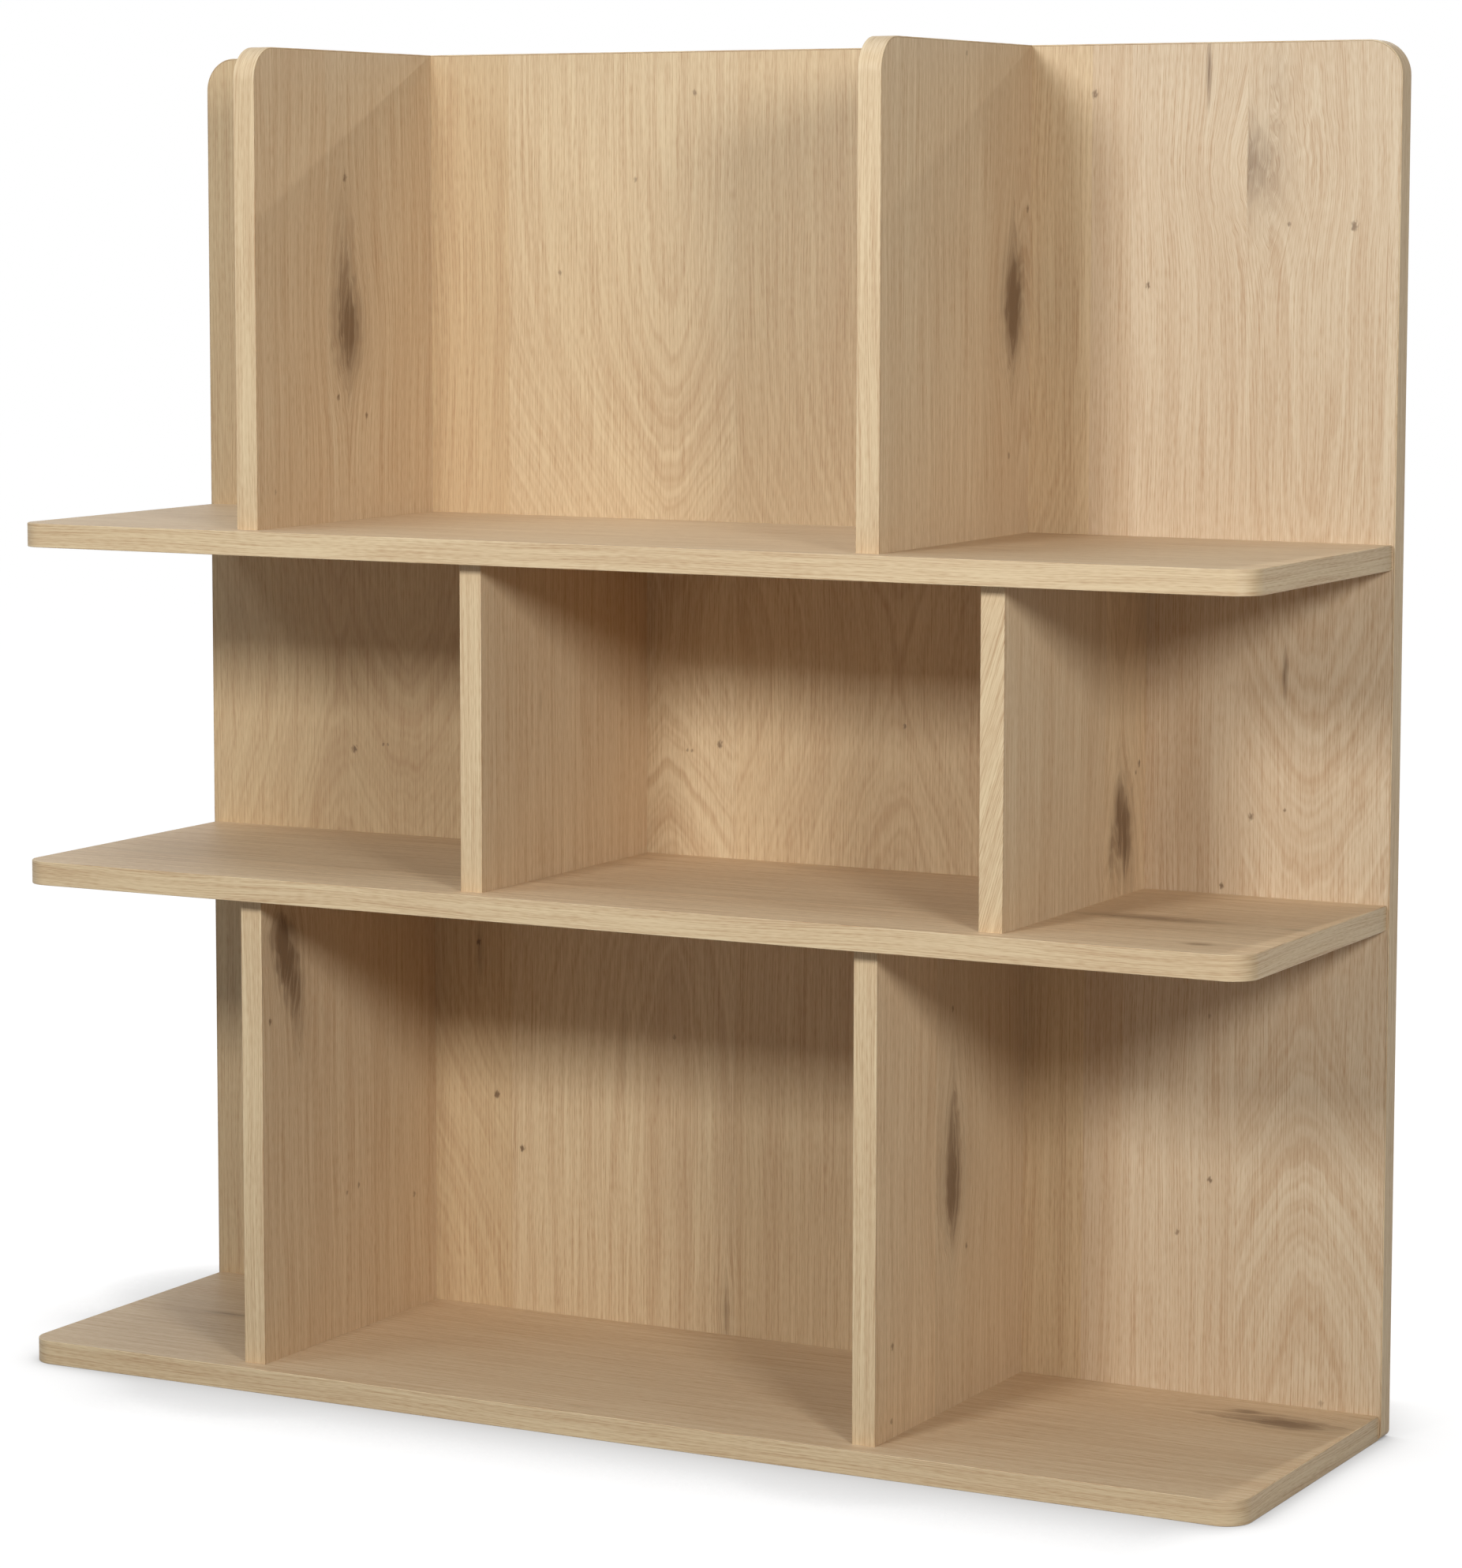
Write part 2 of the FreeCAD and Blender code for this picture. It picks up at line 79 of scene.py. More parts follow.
def board_mesh(name, corners, low, high, place):
    """A board: its outline in its own plane, drawn out from low to high through its thickness."""
    outline = rounded_outline(corners)
    bm = bmesh.new()
    lower = [bm.verts.new(place(u, v, low)) for u, v in outline]
    upper = [bm.verts.new(place(u, v, high)) for u, v in outline]
    bm.faces.new(lower)
    bm.faces.new(upper)
    for number in range(len(outline)):
        bm.faces.new((lower[number - 1], lower[number], upper[number], upper[number - 1]))
    bmesh.ops.recalc_face_normals(bm, faces=bm.faces)
    mesh = bpy.data.meshes.new(name)
    bm.to_mesh(mesh)
    bm.free()
    return mesh


def new_piece(name, mesh, material):
    """An object at the origin, with its place in its mesh."""
    piece = bpy.data.objects.new(name, mesh)
    bpy.context.scene.collection.objects.link(piece)
    if material is not None:
        mesh.materials.clear()
        mesh.materials.append(material)
    return piece


class Field:
    """A value that varies over a surface or a shape. Arithmetic on it adds math nodes to its tree."""

    def __init__(self, socket):
        self.socket = socket
        self.tree = socket.id_data

    def __add__(self, other):
        return math_node("ADD", self, other)

    def __sub__(self, other):
        return math_node("SUBTRACT", self, other)

    def __rsub__(self, other):
        return math_node("SUBTRACT", other, self)

    def __mul__(self, other):
        return math_node("MULTIPLY", self, other)

    def __truediv__(self, other):
        return math_node("DIVIDE", self, other)


def feed(value, socket):
    """Links a field to a socket, or sets the socket to a plain value."""
    if isinstance(value, Field):
        value.tree.links.new(value.socket, socket)
    else:
        socket.default_value = value


def put(tree, kind, values, **settings):
    """A node in a tree, its settings, and its inputs by name or number. Gives its outputs as fields."""
    node = tree.nodes.new(kind)
    for label, value in settings.items():
        setattr(node, label, value)
    for label, value in values.items():
        feed(value, node.inputs[label])
    return [Field(socket) for socket in node.outputs]


def math_node(operation, *terms):
    """A math node fed by fields and plain numbers."""
    tree = next(term.tree for term in terms if isinstance(term, Field))
    node = tree.nodes.new("ShaderNodeMath")
    node.operation = operation
    for term, socket in zip(terms, node.inputs):
        feed(term, socket)
    return Field(node.outputs["Value"])


def fade(value, low, high):
    """Rises smoothly from 0 at low to 1 at high."""
    sockets = {"Value": value, "From Min": low, "From Max": high}
    return put(value.tree, "ShaderNodeMapRange", sockets, interpolation_type="SMOOTHSTEP")[0]


def cloud(along, across, patch, seed, detail=0.0, roughness=0.5):
    """Soft random values about 0, in patches of a length along the grain and a width across it."""
    length, width = patch
    sockets = {"X": along / length, "Y": across / width, "Z": seed}
    place = put(along.tree, "ShaderNodeCombineXYZ", sockets)[0]
    sockets = {"Vector": place, "Scale": 1.0, "Detail": detail, "Roughness": roughness}
    return put(along.tree, "ShaderNodeTexNoise", sockets)[0] - 0.5


def dying_away(amount, left=0.30):
    """1 where amount is 0, and with each further unit the share that is left of it."""
    return math_node("POWER", left, amount)


def tint(amount, first, second):
    """The first colour, going over into the second by amount."""
    node = amount.tree.nodes.new("ShaderNodeMix")
    node.data_type = "RGBA"
    colours = [socket for socket in node.inputs if socket.type == "RGBA"]
    feed(amount, node.inputs["Factor"])
    feed(first, colours[0])
    feed(second, colours[1])
    return Field(next(socket for socket in node.outputs if socket.type == "RGBA"))


def new_group(name, inputs, outputs):
    """An empty shader group of number sockets: its tree, its inputs as fields by name, and its end node."""
    tree = bpy.data.node_groups.new(name, "ShaderNodeTree")
    for labels, way in ((inputs, "INPUT"), (outputs, "OUTPUT")):
        for label in labels:
            tree.interface.new_socket(label, in_out=way, socket_type="NodeSocketFloat")
    start = tree.nodes.new("NodeGroupInput")
    end = tree.nodes.new("NodeGroupOutput")
    return tree, [Field(start.outputs[label]) for label in inputs], end


def use_group(tree, group, values):
    """A group's outputs, by name, with its inputs fed by name."""
    outputs = put(tree, "ShaderNodeGroup", {}, node_tree=group)
    node = outputs[0].socket.node
    for label, value in values.items():
        feed(value, node.inputs[label])
    return {output.socket.name: output for output in outputs}


def mark_inputs(kind):
    """The names of a group's inputs for one kind of mark, such as Knot length."""
    return [f"{kind.__name__} {label}" for label in kind._fields]


def mark_values(mark):
    """A mark's values, by the names of its group's inputs."""
    return dict(zip(mark_inputs(type(mark)), mark))


RIPPLE_ALONG = 0.2
RIPPLE_ACROSS = 0.45
HEART_SHARE = 0.50
LENS_SHARE = 0.22
RIND_SHARE = 0.10
TAIL_SHARE = 0.14
HALO_SHARE = 0.28
PARTING_SHARE = 0.8


def make_knot_group():
    """A knot: a dark heart in a pointed lens with a rind, tails and a halo. The grain parts round it."""
    inputs = ("Along", "Across", "Ripple", *mark_inputs(Knot), "Bend", "Shade")
    tree, fields, end = new_group("oak_knot", inputs, ("Bend", "Shade"))
    along, across, ripple, at_along, at_across, length, width, dark, starts, bend, shade = fields
    aside = across - at_across
    up = (along - at_along) / length + ripple * RIPPLE_ALONG
    out = aside / width + ripple * RIPPLE_ACROSS
    up_square = up * up
    out_square = out * out
    away = math_node("ABSOLUTE", out)
    depth_in_lens = 1 - up_square - away
    lens = fade(depth_in_lens, -0.45, 0.85)
    rind = fade(math_node("ABSOLUTE", depth_in_lens - 0.1), 0.25, 0.0)
    # The factors say how fast each part of the stain dies away along and across the grain
    heart = dying_away(up_square * 2.0 + out_square * 1.1)
    tail = dying_away(up_square * 0.15 + out_square * 5)
    halo = dying_away(up_square * 0.40 + out_square * 0.16)
    inner_stain = heart * HEART_SHARE + lens * LENS_SHARE + rind * RIND_SHARE
    stain = inner_stain + tail * TAIL_SHARE + halo * HALO_SHARE
    on_leaf = math_node("GREATER_THAN", across, starts)
    parting = dying_away(up_square * 1.3 + away * 0.9, left=0.5) * math_node("SIGN", aside)
    feed(bend - parting * width * PARTING_SHARE, end.inputs["Bend"])
    feed(shade + stain * dark * on_leaf, end.inputs["Shade"])
    return tree


DOT_SHARE = 0.75
HAIR_SHARE = 0.30


def make_pin_group():
    """A pin knot: a small dark dot, a little longer along the grain, with a hair of shade at its ends."""
    inputs = ("Along", "Across", "Ripple", *mark_inputs(Pin), "Spots")
    tree, fields, end = new_group("oak_pin", inputs, ("Spots",))
    along, across, ripple, at_along, at_across, size, dark, spots = fields
    up = (along - at_along) / size + ripple
    out = (across - at_across) / size + ripple * 1.5
    up_square = up * up
    out_square = out * out
    dot = fade(up_square * 0.7 + out_square, 1.9, 0.0)
    hair = dying_away(up_square * 0.06 + out_square * 4)
    feed(spots + (dot * DOT_SHARE + hair * HAIR_SHARE) * dark, end.inputs["Spots"])
    return tree


FIGURE_REACH = 40


def make_figure_group():
    """A figure: on a leaf cut flat the growth rings run as nested arches, above and below a summit."""
    inputs = ("Along", "Across", *mark_inputs(Figure), "Arch", "Crown")
    tree, fields, end = new_group("oak_figure", inputs, ("Arch", "Crown"))
    along, across, at_along, at_across, length, round_top, rise, starts, ends, arch, crown = fields
    on_leaf = math_node("GREATER_THAN", across, starts) * math_node("LESS_THAN", across, ends)
    up = (along - at_along) / length
    aside = across - at_across
    ring = math_node("SQRT", aside * aside + round_top * round_top)
    hill = dying_away(up * up, left=0.37)
    near = dying_away(aside * aside / FIGURE_REACH ** 2, left=0.37)
    feed(arch + on_leaf * (ring - across + hill * rise), end.inputs["Arch"])
    feed(crown + on_leaf * near, end.inputs["Crown"])
    return tree


# The oak's pattern, as the length and width of its patches in millimetres
WANDER_PATCH = (310, 85)
WIGGLE_PATCH = (22, 11)
JAG_PATCH = (90, 13)
BAND_PATCH = (900, 24)
RING_PATCH = (320, 6.0)
LINE_PATCH = (110, 0.9)
PORE_PATCH = (8, 0.72)
RELIEF_PATCH = (9, 0.7)

# How far the grain and the growth rings stray sideways, in millimetres
GRAIN_WANDER = 15
GRAIN_WIGGLE = 0.5
RING_WIGGLE = 2
RING_JAG = 9

RING_STRENGTH = 0.33
FIGURE_STRENGTH = 0.18
LINE_STRENGTH = 0.75
OAK_ROUGHNESS = 0.50


def make_oak_group():
    """Oak: growth rings, dense fine lines along the grain, short open pores, and the shade of its knots.

    Each cloud has a seed of its own, so that none repeats another.
    """
    inputs = ("Along", "Across", "Seed", "Bend", "Arch", "Crown", "Shade", "Spots")
    tree, fields, end = new_group("oak", inputs, ("Rings", "Lines", "Knots", "Roughness"))
    along, across, seed, bend, arch, crown, shade, spots = fields
    wander = cloud(along, across, WANDER_PATCH, seed, detail=1)
    wiggle = cloud(along, across, WIGGLE_PATCH, seed + 2)
    jag = cloud(along, across, JAG_PATCH, seed + 41) * crown
    grain = across + bend + wander * GRAIN_WANDER + wiggle * GRAIN_WIGGLE
    ring_grain = grain + arch + wiggle * RING_WIGGLE + jag * RING_JAG
    band = cloud(along, ring_grain, BAND_PATCH, seed + 5)
    rings = cloud(along, ring_grain, RING_PATCH, seed + 11, detail=1, roughness=0.9)
    lines = cloud(along, grain, LINE_PATCH, seed + 17, detail=1, roughness=0.8)
    pores = cloud(along, grain, PORE_PATCH, seed + 31)
    fine = fade(lines * 0.95 + pores * 0.38 + rings * 0.20, -0.18, 0.36)
    streaks = shade * (rings * 0.9 + lines * 0.8 + 0.95)
    figured = crown * FIGURE_STRENGTH + RING_STRENGTH
    feed(fade(rings + band * 0.3, -0.25, 0.30) * figured, end.inputs["Rings"])
    feed(fine * LINE_STRENGTH, end.inputs["Lines"])
    feed(fade(streaks + spots, 0.02, 1.15), end.inputs["Knots"])
    feed(fine * 0.12 - rings * 0.10 + OAK_ROUGHNESS, end.inputs["Roughness"])
    return tree


def make_relief_group():
    """The feel of brushed oak: short pores pressed into the surface along the grain."""
    tree, (along, across, seed), end = new_group("oak_relief", ("Along", "Across", "Seed"), ("Height",))
    feed(cloud(along, across, RELIEF_PATCH, seed + 23), end.inputs["Height"])
    return tree


RING_COLOUR = (0.490, 0.302, 0.160, 1)
LINE_COLOUR = (0.400, 0.214, 0.094, 1)
KNOT_COLOUR = (0.185, 0.104, 0.050, 1)
PORE_DEPTH = 0.12 * MM
PORE_STRENGTH = 0.35
OAK_GLOSS = 0.45


def oak_shader(material, values, colour):
    """Oak on a material's surface. The colour is that of the pale wood between the rings."""
    tree = material.node_tree
    oak = use_group(tree, oak_group, values)
    colour = tint(oak["Rings"], colour, RING_COLOUR)
    colour = tint(oak["Lines"], colour, LINE_COLOUR)
    colour = tint(oak["Knots"], colour, KNOT_COLOUR)
    pressed = use_group(tree, relief_group, {label: values[label] for label in ("Along", "Across", "Seed")})
    sockets = {"Strength": PORE_STRENGTH, "Distance": PORE_DEPTH, "Height": pressed["Height"]}
    relief = put(tree, "ShaderNodeBump", sockets)[0]
    surface = tree.nodes["Principled BSDF"]
    feed(colour, surface.inputs["Base Color"])
    feed(oak["Roughness"], surface.inputs["Roughness"])
    feed(relief, surface.inputs["Normal"])
    surface.inputs["Specular IOR Level"].default_value = OAK_GLOSS


def leaf_ramp(across, low, high, leaves):
    """The colour of each leaf of veneer from its edge on, and its number as a share of all."""
    share, number = put(across.tree, "ShaderNodeValToRGB", {"Fac": (across - low) / (high - low)})
    ramp = share.socket.node.color_ramp
    ramp.interpolation = "CONSTANT"
    ramp.elements.remove(ramp.elements[1])
    for count, leaf in enumerate(leaves):
        stop = ramp.elements.new((leaf.edge - low) / (high - low)) if count else ramp.elements[0]
        stop.color = (*leaf.colour, count / len(leaves))
    return share, number


def new_material(name):
    """A material with a plain surface, and its node tree."""
    material = bpy.data.materials.new(name)
    material.use_nodes = True
    return material, material.node_tree


def place_on_object(tree):
    """A point's place on its object: x, y and z in millimetres."""
    place = tree.nodes.new("ShaderNodeTexCoord").outputs["Object"]
    return [part / MM for part in put(tree, "ShaderNodeSeparateXYZ", {"Vector": Field(place)})]


KNOT_RIPPLE_PATCH = (11, 6)
PIN_RIPPLE_PATCH = (2.4, 1.6)
LEAF_SEED_STEP = 9
BACK_SEED_STEP = 63


def oak_veneer(name, axes, box, shows_high, seed, leaves, knots=(), pins=(), figures=()):
    """Veneer on a board. Axes are the grain's direction, the one across it and the thickness.

    Places are in millimetres on the side that shows, which is the board's high side or its low one along
    the thickness. The other side has the same leaves turned half round.
    """
    material, tree = new_material(name)
    place = place_on_object(tree)
    order = ["XYZ".index(axis) for axis in axes]
    along, across, depth = [place[number] for number in order]
    lows = [box[0][number] / MM for number in order]
    highs = [box[1][number] / MM for number in order]
    on_back = math_node("LESS_THAN" if shows_high else "GREATER_THAN", depth, (lows[2] + highs[2]) / 2)
    along = along + on_back * (lows[0] + highs[0] - along * 2)
    across = across + on_back * (lows[1] + highs[1] - across * 2)

    colour, leaf = leaf_ramp(across, lows[1], highs[1], leaves)
    spot = {"Along": along, "Across": across}
    arch = 0
    crown = 0
    bend = 0
    shade = 0
    spots = 0
    for figure in figures:
        values = spot | mark_values(figure) | {"Arch": arch, "Crown": crown}
        result = use_group(tree, figure_group, values)
        arch = result["Arch"]
        crown = result["Crown"]
    ripple = cloud(along, across, KNOT_RIPPLE_PATCH, seed) if knots else 0
    for knot in knots:
        values = spot | mark_values(knot) | {"Ripple": ripple, "Bend": bend, "Shade": shade}
        result = use_group(tree, knot_group, values)
        bend = result["Bend"]
        shade = result["Shade"]
    rough = cloud(along, across, PIN_RIPPLE_PATCH, seed) if pins else 0
    for pin in pins:
        values = spot | mark_values(pin) | {"Ripple": rough, "Spots": spots}
        spots = use_group(tree, pin_group, values)["Spots"]
    leaf_seed = leaf * (LEAF_SEED_STEP * len(leaves)) + on_back * BACK_SEED_STEP + seed
    grown = {"Seed": leaf_seed, "Bend": bend, "Arch": arch, "Crown": crown, "Shade": shade, "Spots": spots}
    oak_shader(material, spot | grown, colour)
    return material


def new_tree(name, inputs, result):
    """An empty Geometry Nodes tree: the tree, its inputs as fields, and the socket for its result."""
    tree = bpy.data.node_groups.new(name, "GeometryNodeTree")
    for label, kind in inputs:
        tree.interface.new_socket(label, in_out="INPUT", socket_type=f"NodeSocket{kind}")
    tree.interface.new_socket(result, in_out="OUTPUT", socket_type="NodeSocketGeometry")
    start = tree.nodes.new("NodeGroupInput")
    end = tree.nodes.new("NodeGroupOutput")
    return tree, [Field(start.outputs[label]) for label, kind in inputs], end.inputs[result]


def end_tree(shape, material, result):
    """Every tree ends so: its instances become mesh, and the mesh gets its material."""
    whole = put(shape.tree, "GeometryNodeRealizeInstances", {"Geometry": shape})[0]
    feed(put(shape.tree, "GeometryNodeSetMaterial", {"Geometry": whole, "Material": material})[0], result)


def run_tree(name, source, tree, values):
    """Runs a tree on an object and keeps the result as a plain mesh. The source object is removed."""
    modifier = source.modifiers.new(tree.name, "NODES")
    modifier.node_group = tree
    for item in tree.interface.items_tree:
        if item.in_out == "INPUT" and item.name in values:
            modifier[item.identifier] = values[item.name]
    source.update_tag()
    depsgraph = bpy.context.evaluated_depsgraph_get()
    mesh = bpy.data.meshes.new_from_object(source.evaluated_get(depsgraph), depsgraph=depsgraph)
    mesh.name = name
    bpy.data.objects.remove(source)
    return mesh


def pick(index, *choices):
    """The choice that has this number, counted from 0."""
    node = index.tree.nodes.new("GeometryNodeIndexSwitch")
    node.data_type = "FLOAT"
    while len(node.index_switch_items) < len(choices):
        node.index_switch_items.new()
    feed(index, node.inputs["Index"])
    for number, choice in enumerate(choices):
        feed(choice, node.inputs[str(number)])
    return Field(node.outputs["Output"])


def turned_shape(rod, shape):
    """Turns a rod of radius 1 on a lathe: shape gives the level and radius for each point of it."""
    position = put(rod.tree, "GeometryNodeInputPosition", {})[0]
    x, y, z = put(rod.tree, "ShaderNodeSeparateXYZ", {"Vector": position})
    level, radius = shape(math_node("ARCTAN2", y, x), z)
    place = put(rod.tree, "ShaderNodeCombineXYZ", {"X": x * radius, "Y": y * radius, "Z": level})[0]
    return put(rod.tree, "GeometryNodeSetPosition", {"Geometry": rod, "Position": place})[0]


BIT_SIDES = 40
BIT_START = 1 * MM


def make_drill_tree():
    """Drills a board at each mark: a straight bore, countersunk at 45 degrees where Flare is set."""
    inputs = (("Board", "Geometry"), ("Marks", "Object"), ("Turn", "Rotation"), ("Bore", "Float"),
              ("Depth", "Float"), ("Flare", "Float"), ("Material", "Material"))
    tree, fields, result = new_tree("drilled_board", inputs, "Drilled")
    board, marks, turn, bore, depth, flare, material = fields
    sockets = {"Vertices": BIT_SIDES, "Side Segments": 2, "Radius": 1.0, "Depth": 2.0}
    rod = put(tree, "GeometryNodeMeshCylinder", sockets)[0]
    is_flared = math_node("GREATER_THAN", flare, 0.0)
    shoulder = is_flared * (flare - BIT_START) + (1 - is_flared) * depth / 2

    def bit_shape(angle, z):
        # The rod's three rings of points lie at z -1, 0 and 1, and have the numbers 0, 1 and 2
        ring = z + 1.5
        level = pick(ring, -BIT_START, shoulder, depth)
        return level, pick(ring, bore / 2 + flare, bore / 2, bore / 2)

    bit = turned_shape(rod, bit_shape)
    places = put(tree, "GeometryNodeObjectInfo", {"Object": marks})[-1]
    sockets = {"Points": places, "Instance": bit, "Rotation": turn}
    bits = put(tree, "GeometryNodeInstanceOnPoints", sockets)[0]
    cutter = put(tree, "GeometryNodeRealizeInstances", {"Geometry": bits})[0]
    sockets = {"Mesh 1": board, "Mesh 2": cutter}
    cut = put(tree, "GeometryNodeMeshBoolean", sockets, operation="DIFFERENCE")[0]
    end_tree(cut, material, result)
    return tree


def drill(mesh, material, marks, turn, bore, depth, flare=0.0):
    """A board's mesh with a bore at each mark. The bit points up unless it is turned."""
    mark_mesh = bpy.data.meshes.new("drill_marks")
    mark_mesh.from_pydata(marks, [], [])
    mark_piece = new_piece("drill_marks", mark_mesh, None)
    values = {"Marks": mark_piece, "Turn": turn, "Bore": bore, "Depth": depth, "Flare": flare,
              "Material": material}
    drilled = run_tree(mesh.name, new_piece("board_to_drill", mesh, material), drill_tree, values)
    bpy.data.objects.remove(mark_piece)
    return drilled


knot_group = make_knot_group()
pin_group = make_pin_group()
figure_group = make_figure_group()
oak_group = make_oak_group()
relief_group = make_relief_group()
drill_tree = make_drill_tree()

PANEL_LEAVES = (
    Leaf(-500, (0.654, 0.462, 0.253)), Leaf(-371, (0.644, 0.455, 0.249)), Leaf(-226, (0.696, 0.512, 0.299)),
    Leaf(-26, (0.671, 0.482, 0.274)), Leaf(262, (0.639, 0.463, 0.287)), Leaf(296, (0.664, 0.498, 0.321)),
    Leaf(385, (0.661, 0.496, 0.319)),
)
PANEL_KNOTS = (
    Knot(980, 355, 30, 2.2, 0.75),
    Knot(918, 385, 36, 17, 0.55, 385),
    Knot(902, 402, 46, 24, 0.28, 385),
    Knot(974, 408, 36, 12, 0.20, 385),
    Knot(232, -120, 60, 7, 0.22),
    Knot(36, -32, 34, 6, 0.45),
    Knot(300, -251, 30, 3.5, 0.45),
    Knot(552, 419, 20, 2.5, 0.75),
)
PANEL_PINS = (
    Pin(964, 267, 2.4, 0.8), Pin(870, 466, 2.8, 0.8), Pin(827, 310, 1.8, 1.0), Pin(871, 417, 1.3, 0.7),
    Pin(969, -60, 2.0, 0.7), Pin(904, -111, 1.7, 0.6), Pin(876, -288, 2.2, 0.25), Pin(833, -177, 1.8, 0.7),
    Pin(455, -366, 2.5, 0.9), Pin(460, -339, 1.1, 0.8), Pin(460, -335, 1.1, 0.8), Pin(476, -38, 2.4, 0.9),
    Pin(470, -66, 1.1, 0.7), Pin(470, -62, 1.1, 0.7), Pin(498, 118, 1.6, 0.8), Pin(447, 394, 2.3, 0.8),
    Pin(453, 420, 1.1, 0.8), Pin(308, -252, 2.0, 0.7), Pin(188, -236, 2.5, 1.0), Pin(147, -213, 2.2, 1.0),
    Pin(247, -77, 1.6, 0.7), Pin(178, 366, 2.0, 0.9), Pin(137, 341, 1.8, 0.7), Pin(299, 364, 1.4, 0.6),
    Pin(22, 454, 2.2, 0.5), Pin(395, 372, 1.8, 0.9), Pin(490, 307, 1.3, 0.8),
)
PANEL_FIGURES = (
    Figure(520, -378, 130, 10, 50, -500, -371),
    Figure(310, -316, 190, 26, 110, -371, -226),
    Figure(560, -80, 170, 13, 120, -226, -26),
    Figure(540, 114, 130, 8, 60, -26, 262),
    Figure(330, 440, 190, 18, 110, 385, 500),
)

SCREW_HEAD = 10 * MM
SCREW_NECK = 7 * MM
SCREW_PLAY = 0.05 * MM
SCREW_SINK = 0.3 * MM
SCREW_MARGIN = 60 * MM
LEVELS = ("bottom", "middle", "top")
DIVIDERS = {level: (f"{level}_divider_left", f"{level}_divider_right") for level in LEVELS}

panel_low, panel_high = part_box("back_panel")
rim_low, rim_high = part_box("back_panel_edging")
BANDING = panel_low.x - rim_low.x
shelf_screw_spots = []
divider_screw_spots = []
for level in LEVELS:
    low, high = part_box(f"{level}_shelf")
    for share in (-1, -1 / 3, 1 / 3, 1):
        shelf_screw_spots.append(((rim_high.x - SCREW_MARGIN) * share, (low.z + high.z) / 2))
    for node in DIVIDERS[level]:
        low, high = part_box(node)
        top = max(high.z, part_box(f"{node}_edging")[1].z)
        for z in (low.z + SCREW_MARGIN, top - SCREW_MARGIN):
            divider_screw_spots.append(((low.x + high.x) / 2, z))


def in_panel(x, z, y):
    """The panel's plane is X and Z, and its thickness runs along Y."""
    return Vector((x, y, z))


panel_corners = (
    (panel_low.x, panel_low.z, PANEL_FOOT_RADIUS - BANDING),
    (panel_high.x, panel_low.z, PANEL_FOOT_RADIUS - BANDING),
    (panel_high.x, panel_high.z, PANEL_TOP_RADIUS - BANDING),
    (panel_low.x, panel_high.z, PANEL_TOP_RADIUS - BANDING),
)
PANEL_SEED = 3.0
panel_oak = oak_veneer("oak_veneer_back_panel", "ZXY", (panel_low, panel_high), False, PANEL_SEED,
                       PANEL_LEAVES, PANEL_KNOTS, PANEL_PINS, PANEL_FIGURES)
panel_mesh = board_mesh("back_panel_board", panel_corners, panel_low.y, panel_high.y, in_panel)
BOARD = panel_high.y - panel_low.y
FORWARD = (math.radians(90), 0, 0)
NECK_BORE = SCREW_NECK + SCREW_PLAY * 2
FLARE = (SCREW_HEAD - SCREW_NECK) / 2 + SCREW_SINK + BIT_START
panel_marks = [in_panel(x, z, panel_high.y) for x, z in shelf_screw_spots + divider_screw_spots]
panel_mesh = drill(panel_mesh, panel_oak, panel_marks, FORWARD, NECK_BORE, BOARD + BIT_START, FLARE)
back_panel = new_piece("back_panel_board", panel_mesh, panel_oak)
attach(back_panel, "root")
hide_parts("back_panel")


# Edging of the back panel: an oak strip 1 mm thick and as wide as the board is thick, with the grain
# along its length. It is glued round the whole edge, bent round the corners and butted under the foot,
# and its arrises are eased.
ARRIS_RADIUS = 0.6 * MM
ARRIS_STEPS = 4
FLAT_SIDES_WEIGHT = 100
STRIP_COLOUR = (0.695, 0.508, 0.295, 1)


